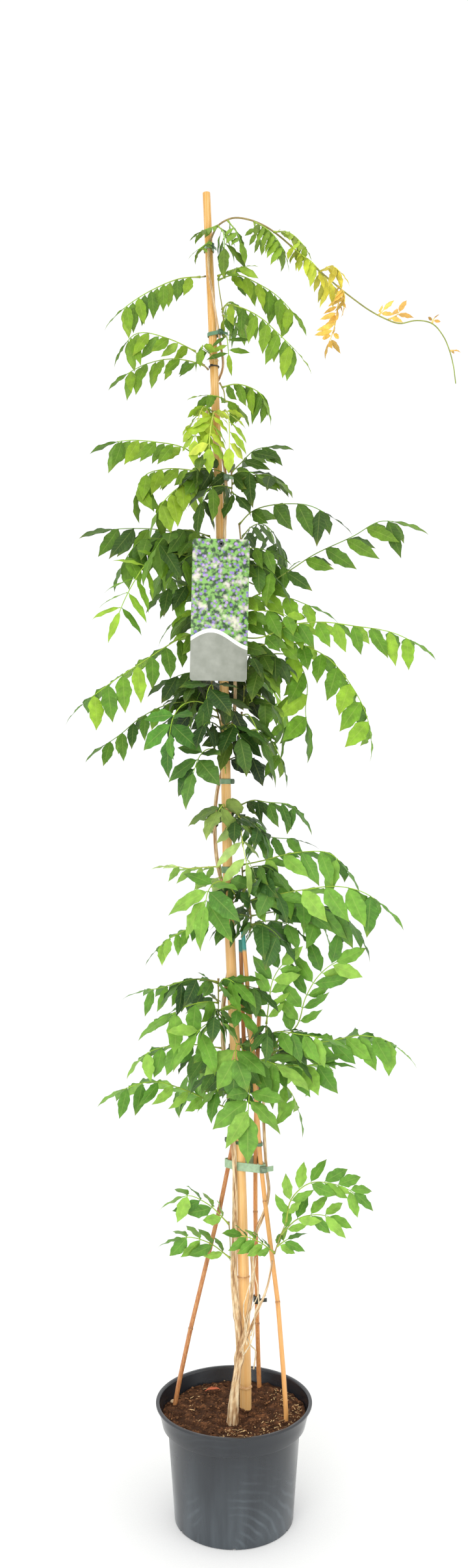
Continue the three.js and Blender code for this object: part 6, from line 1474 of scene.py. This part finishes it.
class Leaflet:
    def __init__(self, frame, side, length, width, droop, forward, twist, key):
        self.axes = leafletAxes(frame, side, droop, forward, twist)
        self.length, self.width, self.key, self.side = length, width, key, side
        root, along = self.axes[:2]
        self.middle = root + along * length * 0.5
        self.reach = length * 0.62  # how far off from its middle its points may be

    # The blade's middle surface at shares along and across it.
    def surface(self, along, across):
        root, forward, sideways, normal = self.axes
        half = np.interp(along, rowShares, rowWidths) * self.width * leafLook["narrower"] / 2
        notches = 3.1 * along + draw(self.key + 16) + 0.3 * np.sign(across)
        half = half * (1 + leafLook["ragged"] * np.sin(2 * math.pi * notches) * np.sin(math.pi * along))
        amount = np.abs(across)
        waves = 1.9 + 1.3 * draw(self.key + 8)
        ripple = np.sin(2 * math.pi * (waves * along + draw(self.key + 7) + 0.35 * np.sign(across)))
        lift = leafLook["fold"] * half * amount**1.3
        lift = lift + leafLook["ruffle"] * half * 2 * amount**2 * ripple * np.sin(math.pi * along)
        coil = math.radians(leafLook["coil"]) * (draw(self.key + 15) - 0.5) * along
        bend = -leafLook["curl"] * self.length * along**2
        bend = bend - 0.04 * self.length * np.clip((along - 0.78) / 0.22, 0, 1) ** 2
        sway = (draw(self.key + 9) - 0.5) * leafLook["sway"] * self.length * along**2
        wide = across * half
        x = wide * np.cos(coil) - lift * np.sin(coil) + sway
        z = wide * np.sin(coil) + lift * np.cos(coil) + bend
        parts = zip(root, forward, sideways, normal)
        return np.stack([r + f * self.length * along + s * x + n * z for r, f, s, n in parts], axis=-1)

    # A coarse copy of the blade, made once, to find out what it would cross.
    def tester(self):
        if not hasattr(self, "tree"):
            along, across = np.meshgrid((0.1, 0.27, 0.45, 0.65, 0.84, 1.0), (-1.0, 0.0, 1.0), indexing="ij")
            points = self.surface(along, across).reshape(-1, 3)
            faces = [(a, a + 1, a + 4, a + 3) for a in (0, 1, 3, 4, 6, 7, 9, 10, 12, 13)]
            self.tree = BVHTree.FromPolygons(points.tolist(), faces)
        return self.tree


def nearestOn(path, point):
    return min((path.at(path.total * i / 60) for i in range(61)), key=lambda p: np.linalg.norm(p - point))


class Frond:
    def __init__(
        self, points, key, stalk, pitch, length, width, droop, bare, tilt=0, forward=0, twist=17, fan=0
    ):
        self.length, self.width, self.droop = length, width, droop
        self.forward, self.twist, self.fan = forward, twist, fan
        spacing, self.farDroop = pitch
        self.tilt = math.radians(tilt)
        self.twist += leafLook["frondTwist"] * (draw(key + 5) - 0.5)
        self.path = Route([nearestOn(stalk, points[0]), *points[1:]])
        self.key = key
        self.ribLength = self.path.total - self.length * leafLook["ribShare"]
        first = max(self.ribLength * bare * leafLook["bare"], leafLook["foot"])
        span = max(self.ribLength - first - leafLook["back"], 0)
        pairs = round(span / (spacing * self.length)) + 1
        if fan:
            first, pairs = self.ribLength - leafLook["fanDepth"], 3
            span = self.ribLength - first - leafLook["back"]
        self.spacing = span / max(pairs - 1, 1)
        self.farSide = 1 if self.frame((first + self.ribLength) / 2)[3][1] > 0 else -1
        self.stops = []
        for i in range(pairs):
            share = i / (pairs - 1) if pairs > 1 else 1
            self.stops.append((first + span * share, share, key + 10 * i))

    def frame(self, s):
        return ribFrame(self.path, s, self.tilt)

    def endLeaflet(self):
        return Leaflet(self.frame(self.ribLength), 0, self.length, self.width, 0, 0, 0, self.key + 7)

    # The leaflets that one side of a pair may have. On a rib's far side they hang less.
    def choices(self, stop, side):
        s, share, key = stop
        key = key + 5 if side > 0 else key
        if side == self.farSide and self.farDroop > 0.5:
            s = min(s + self.spacing / 2, self.ribLength - 1)
        frame = self.frame(s)
        farness = max(side * frame[3][1], 0) * (1 - self.farDroop)
        swell = 0.62 + 0.42 * math.sin(math.pi * (0.12 + 0.5 * share))
        length = self.length * swell * (1 + 0.14 * (draw(key) - 0.5))
        width = self.width * (0.5 + 0.5 * swell) * (1 + 0.16 * (draw(key + 1.5) - 0.5))
        droop = self.droop * (1 - farness)
        droop += leafLook["droopSpread"] * (draw(key + 2.5) - 0.5)
        if self.fan:
            droop += leafLook["fanLift"] * (share - 0.7)
        twist = self.twist + leafLook["twistSpread"] * (draw(key + 3.5) - 0.5)
        forward = self.forward + self.fan * (2 * share - 1)
        forward += leafLook["turnSpread"] * (draw(key + 4.5) - 0.5)
        for more, ahead, scale in leafTurns:
            lean = min(droop + more, leafLook["steepest"])
            yield Leaflet(frame, side, length * scale, width * scale, lean, forward + ahead, twist, key)


# The usual, bright and dark colours of a frond's leaflets.
def frondColours(look, frond):
    if look != "youngLeaf":
        return leafColours[look]
    usual = colourAt(runnerColours, frond.path.line[0][0])
    return usual, np.minimum(usual * 1.15, 250), usual * 0.8


class Shoot:
    def __init__(self, index, name, look):
        self.name, self.look = name, look["look"]
        radius, guide = look["stalk"]
        route = Route([place(p) for p in guide])
        count = max(2, math.floor(route.total / leafLook["stalkPitch"] + 0.5))
        self.stalkRadius = radius * leafLook["stalkShare"]
        self.stalk = stretches(route, [i / count for i in range(count + 1)])
        self.stalkLine = Route(self.stalk.line, 4)
        pitch = leafPitch.get(name, leafPitch["usual"])
        self.key = 1000 * (index + 1)
        self.fronds = [
            Frond([place(p) for p in row[4]], self.key + 100 * k, self.stalk, pitch, *row[:4], *row[5:])
            for k, row in enumerate(look["fronds"])
        ]
        self.leaflets = []
        for frond in self.fronds:
            frond.colours = [np.array(light(*c)) for c in frondColours(self.look, frond)]

    # Adds the short fronds round the stalk, each where its rib is clear of the bars.
    def fill(self, bars):
        wanted = innerFronds.get(self.name, 0)
        low, high = innerLook["reach"]
        rise, fall = np.array((0, 0, innerLook["rise"])), np.array((0, 0, innerLook["fall"]))
        for k in range(wanted):
            for attempt in range(8):
                key = self.key + 5000 + 100 * k + 13 * attempt
                angle = 2.4 * (k + 0.37 * attempt) + 6.28 * draw(self.key)
                foot = self.stalk.at(self.stalk.total * (0.12 + 0.8 * (k + draw(key)) / wanted))
                away = np.array((math.cos(angle), math.sin(angle), 0))
                away = away * (low + (high - low) * draw(key + 1))
                points = [foot, foot + away * 0.34 + rise, foot + away * 0.72 + rise * 0.6]
                points.append(foot + away - fall)
                sizes = [innerLook[part] for part in ("length", "width", "droop", "bare")]
                frond = Frond(points, key, self.stalk, leafPitch["usual"], *sizes)
                if isClearRib(frond, bars):
                    # Inner fronds take the dark leaf colours, made darker still: painted shade deep in the
                    # plant.
                    colours = [np.array(light(*c)) for c in leafColours["darkLeaf"]]
                    frond.colours = [colour * innerLook["dark"] for colour in colours]
                    self.fronds.append(frond)
                    break


# Whether a rib, as a narrow ribbon, crosses none of the bars.
def isClearRib(frond, bars):
    line = [frond.path.at(s) for s in np.linspace(7, frond.path.total, 14)]
    points = [p + (0, 0, lift) for p in line for lift in (-1.5, 1.5)]
    faces = [(2 * i, 2 * i + 1, 2 * i + 3, 2 * i + 2) for i in range(len(line) - 1)]
    return not bars.overlap(BVHTree.FromPolygons([p.tolist() for p in points], faces))


# What is taken up by accepted leaflets, and the bars that nothing may cross.
class Room:
    def __init__(self, bars):
        self.bars = BVHTree.FromPolygons(*bars)
        self.leaflets = []
        most = 4000
        self.middles = np.zeros((most, 3))
        self.reaches = np.zeros(most)

    def isClear(self, leaflet):
        if self.bars.overlap(leaflet.tester()):
            return False
        n = len(self.leaflets)
        away = np.linalg.norm(self.middles[:n] - leaflet.middle, axis=1)
        for i in np.nonzero(away < self.reaches[:n] + leaflet.reach)[0]:
            if self.leaflets[i].tester().overlap(leaflet.tester()):
                return False
        return True

    def take(self, leaflet):
        n = len(self.leaflets)
        self.middles[n], self.reaches[n] = leaflet.middle, leaflet.reach
        self.leaflets.append(leaflet)


# Coarse bars along all ribs, stalks, canes and stems, and the card as two plates.
def barMesh(shoots):
    points, faces = [], []

    def addBar(path, radiusAt, pitch):
        stops = np.arange(0, path.total, pitch).tolist() + [path.total]
        for j, (s, (centre, across, other)) in enumerate(zip(stops, path.frames(stops))):
            base = len(points)
            points.extend(p.tolist() for p in circle(centre, across, other, radiusAt(s / path.total), 6))
            if j:
                pairs = [(base + k, base + (k + 1) % 6) for k in range(6)]
                faces.extend((a - 6, b - 6, b, a) for a, b in pairs)

    for name, look in caneLook.items():
        addBar(canePaths[name], lambda share, look=look: caneRadius(look, share) + 0.6, 20)
    for limb, route in zip(stemLook["limbs"], limbRoutes):
        addBar(route, lambda share, limb=limb: taper(limb["radii"], share) + 0.5, 8)
    for shoot in shoots:
        radii = (shoot.stalkRadius, 0.55 * shoot.stalkRadius)
        addBar(shoot.stalkLine, lambda share, radii=radii: taper(radii, share), 8)
        for frond in shoot.fronds:
            end = Route([frond.path.at(s) for s in np.linspace(0, frond.ribLength - 2, 16)], 1)
            addBar(end, lambda share: 0.9, 8)
    centre, right, up = labelFrame(labelLook)
    base = len(points)
    halfWide, halfTall = labelLook["width"] / 2 + 1, labelLook["height"] / 2 + 0.5
    for x, z in ((-1, -1), (1, -1), (1, 1), (-1, 1)):
        for y in (-2, 6):
            points.append((centre + right * x * halfWide + up * z * halfTall + (0, y, 0)).tolist())
    faces.extend(((base, base + 2, base + 4, base + 6), (base + 1, base + 3, base + 5, base + 7)))
    return points, faces


# End leaflets first, then the pairs: each takes the first of its choices that has room.
def findLeaflets(shoots):
    bars = BVHTree.FromPolygons(*barMesh(shoots))
    for shoot in shoots:
        shoot.fill(bars)
    room = Room(barMesh(shoots))
    for shoot in shoots:
        for frond in shoot.fronds:
            end = frond.endLeaflet()
            room.take(end)
            shoot.leaflets.append((frond, end))
    for shoot in shoots:
        places = [(frond, stop, side) for frond in shoot.fronds for stop in frond.stops for side in (-1, 1)]
        for frond, stop, side in places:
            for leaflet in frond.choices(stop, side):
                if room.isClear(leaflet):
                    room.take(leaflet)
                    shoot.leaflets.append((frond, leaflet))
                    break
    print("leaflets", len(room.leaflets))


# How a leaflet is tinted at its place, with painted shade toward the top and near the middle of the plant.
def leafTone(spot):
    cane = canePaths["cane_main"]
    centre = cane.at(cane.crossing(spot[2]))
    away = math.hypot(spot[0] - centre[0], leafDepths["flatter"] * (spot[1] - centre[1]))
    most = np.interp(spot[2], leafDepths["heights"], leafDepths["most"])
    inside = np.interp(away, leafDepths["distances"], (1, 0)) * most
    return colourAt(leafTones, spot[2]) * (1 - inside * leafDepths["shade"])


# A closed thin blade: its upper side, then its paler underside back across, row by row.
def addLeaflet(piece, leaflet, colours, shootTone):
    along, across = np.meshgrid(rowShares, columnShares, indexing="ij")
    blade = leaflet.surface(along, across)
    thick = np.where(rowShares < 0.05, 1.5, leafLook["thick"]) * np.where(rowShares > 0.9, 0.6, 1.0)
    offset = 0.5 * thick[:, None] * (1 - np.abs(columnShares) ** 4)[None, :]
    top, under = (blade + way * leaflet.axes[3] * offset[..., None] for way in (1, -1))
    rings = np.concatenate((top, under[:, -2:0:-1]), axis=1)
    below = np.repeat((0.0, 1.0), (len(columnShares), len(columnShares) - 2))
    spread = np.concatenate((columnShares, columnShares[-2:0:-1]))
    if leaflet.side > 0:
        rings, below, spread = rings[:, ::-1], below[::-1], spread[::-1]
    base, bright, dark = colours
    tone = draw(leaflet.key + 11) * 2 - 1
    colour = base + (bright - base) * max(tone, 0) + (dark - base) * max(-tone, 0)
    colour = colour * leafTone(leaflet.middle) * shootTone
    pale = colour * 1.12 + np.array(light(*leafLook["underside"])) * 0.8
    tints = colour * (1 - below[None, :, None]) + pale * below[None, :, None]
    tipTint = np.clip((rowShares - 0.8) / 0.2, 0, 1)[:, None, None] * 0.35 * draw(leaflet.key + 13)
    tints = tints * (1 - tipTint) + np.array(light(*leafLook["tip"])) * tipTint
    places = np.zeros(rings.shape)
    places[..., 0] = rowShares[:, None] * leaflet.length / 10
    places[..., 1] = spread[None, :]
    places[..., 2] = draw(leaflet.key + 12)
    edge = np.tile(np.abs(spread) > 0.99, len(rowShares))
    piece.tube(rings, colours=tints.reshape(-1, 3), places=places.reshape(-1, 3), sharp=edge)


# A round bar that swells at its foot and changes colour along its way.
def addRib(piece, path, length, radii, sides, colours, pitch, swell):
    count = max(int(length / pitch), 3)
    stops = [length * i / count for i in range(count + 1)]
    rings, tints = [], []
    for s, (centre, across, other) in zip(stops, path.frames(stops)):
        share = s / length
        radius = taper(radii, share) + swell * math.exp(-s / 3.5)
        rings.append(circle(centre, across, other, radius, sides))
        tints += [colours[0] + (colours[1] - colours[0]) * share] * sides
    piece.tube(rings, colours=np.array(tints), places=(0, 0, 2))


def shootPiece(shoot):
    piece = Piece()
    bright = shoot.fronds[0].colours[1]
    wood = np.array(light(*leafLook["wood"]))
    line = shoot.stalkLine
    radii = [shoot.stalkRadius * share for share in (1, 0.8, 0.55)]
    addRib(piece, line, line.total, radii, 10, (wood, (bright + wood) / 2), 5, 0.5)
    for frond in shoot.fronds:
        rib = (frond.colours[1] * 0.6 + wood * 0.5, frond.colours[1])
        addRib(piece, frond.path, frond.ribLength + 1, leafLook["ribRadius"], 8, rib, 7, 0.9)
    for frond, leaflet in shoot.leaflets:
        addLeaflet(piece, leaflet, frond.colours, shootTones.get(shoot.name, (1, 1, 1)))
    made = piece.make(shoot.name + "_shape", leafMaterial)
    return show(made, leafSlots[shoot.look], shoot.name)


# Side veins run forward from the middle one. Ribs and stalks are marked by a last value of 2 and have none.
def leafFinish():
    finish = Finish("wisteriaLeaf")
    along, across, own = finish.node("SeparateXYZ", {0: finish.attribute("spot")[1]}).outputs
    distance = finish.sum("ABSOLUTE", across)
    vein = finish.sum("SUBTRACT", finish.product(along, 1.75), finish.product(distance, 1.25))
    fine = finish.ramp(finish.sum("PINGPONG", vein, 0.5), (0.0, 1.0), (0.16, 0.0))
    middle = finish.ramp(distance, (0.0, 1.0), (0.09, 0.0))
    isBlade = finish.sum("LESS_THAN", own, 1.5)
    veins = finish.product(finish.sum("MAXIMUM", finish.product(fine, 0.3), middle), isBlade)
    mottle = finish.grain(95, 3)
    colour = finish.toned(mottle, (0.32, 0.78), (0.7, 1.18))
    paler = finish.mix(0.4, finish.attribute("tint")[0], light(*leafLook["vein"]))
    colour = finish.mix(finish.product(veins, 0.5), colour, paler)
    dull = finish.ramp(mottle, (0.3, 0.48), (0.75, 0.66))
    finish.bump(finish.sum("SUBTRACT", finish.product(mottle, 0.4), veins), 0.25, 0.6)
    return finish.done(Base_Color=colour, Specular_IOR_Level=0.32, Roughness=dull)


allShoots = [Shoot(i, name, look) for i, (name, look) in enumerate(shootTable.items())]
findLeaflets(allShoots)
leafMaterial = leafFinish()
for shoot in allShoots:
    shootPiece(shoot)


print("floor, light and camera")
stageLook = {
    "floor": (252, 252, 251), "floorGrain": (248, 248, 247), "reach": 14000, "sink": 0.4, "world": 1.07,
}
# Each soft lamp: where it stands and what it aims at, in metres, its size and its power.
lamps = {
    "front": ((-1.2, -3.2, 1.8), (0, 0, 1.1), (2.2, 2.2), 30),
    "top": ((0.3, -0.6, 4.2), (0, 0, 0.9), (2.6, 2.0), 14),
    "low": ((-0.7, -2.6, 0.9), (0, 0, 0.35), (1.8, 1.0), 9),
    "side": ((2.8, -1.6, 1.6), (0, 0, 1.1), (1.4, 2.4), 8),
}
photoHeight, filmHeight = 2412, 36  # in pixels and millimetres


def floorPiece(look):
    piece = Piece()
    corners = ((-1, -1), (1, -1), (1, 1), (-1, 1))
    piece.add([(x * look["reach"], y * look["reach"], -look["sink"]) for x, y in corners], [(0, 1, 2, 3)])
    finish = Finish("paleFloor", Roughness=0.9)
    grain = finish.ramp(finish.grain(500, 2), (0.3, 0.0), (0.7, 1.0))
    tone = finish.mix(grain, light(*look["floor"]), light(*look["floorGrain"]))
    piece.make("floor", finish.done(Base_Color=tone, Specular_IOR_Level=0.1))


def lamp(name, spot, aim, size, power):
    data = bpy.data.lights.new(name, "AREA")
    data.shape, data.size, data.size_y = "RECTANGLE", *size
    data.energy = power
    made = bpy.data.objects.new(name, data)
    made.location = spot
    made.rotation_euler = (Vector(aim) - Vector(spot)).to_track_quat("-Z", "Y").to_euler()
    bpy.context.scene.collection.objects.link(made)


floorPiece(stageLook)
for lampName, lampValues in lamps.items():
    lamp(lampName, *lampValues)
scene = bpy.context.scene
world = bpy.data.worlds.new("white")
world.use_nodes = True
background = world.node_tree.nodes["Background"]
background.inputs[0].default_value = (1, 1, 1, 1)
background.inputs[1].default_value = stageLook["world"]
scene.world = world
scene.view_settings.view_transform = "Standard"
cameraData = bpy.data.cameras.new("camera")
cameraData.lens = filmHeight * viewerDistance / photoHeight
cameraData.sensor_width = filmHeight
cameraData.clip_end = 50
camera = bpy.data.objects.new("camera", cameraData)
camera.location = (0, -viewerDistance * toMetres, eyeHeight * toMetres)
camera.rotation_euler = (math.pi / 2, 0, 0)
scene.collection.objects.link(camera)
scene.camera = camera
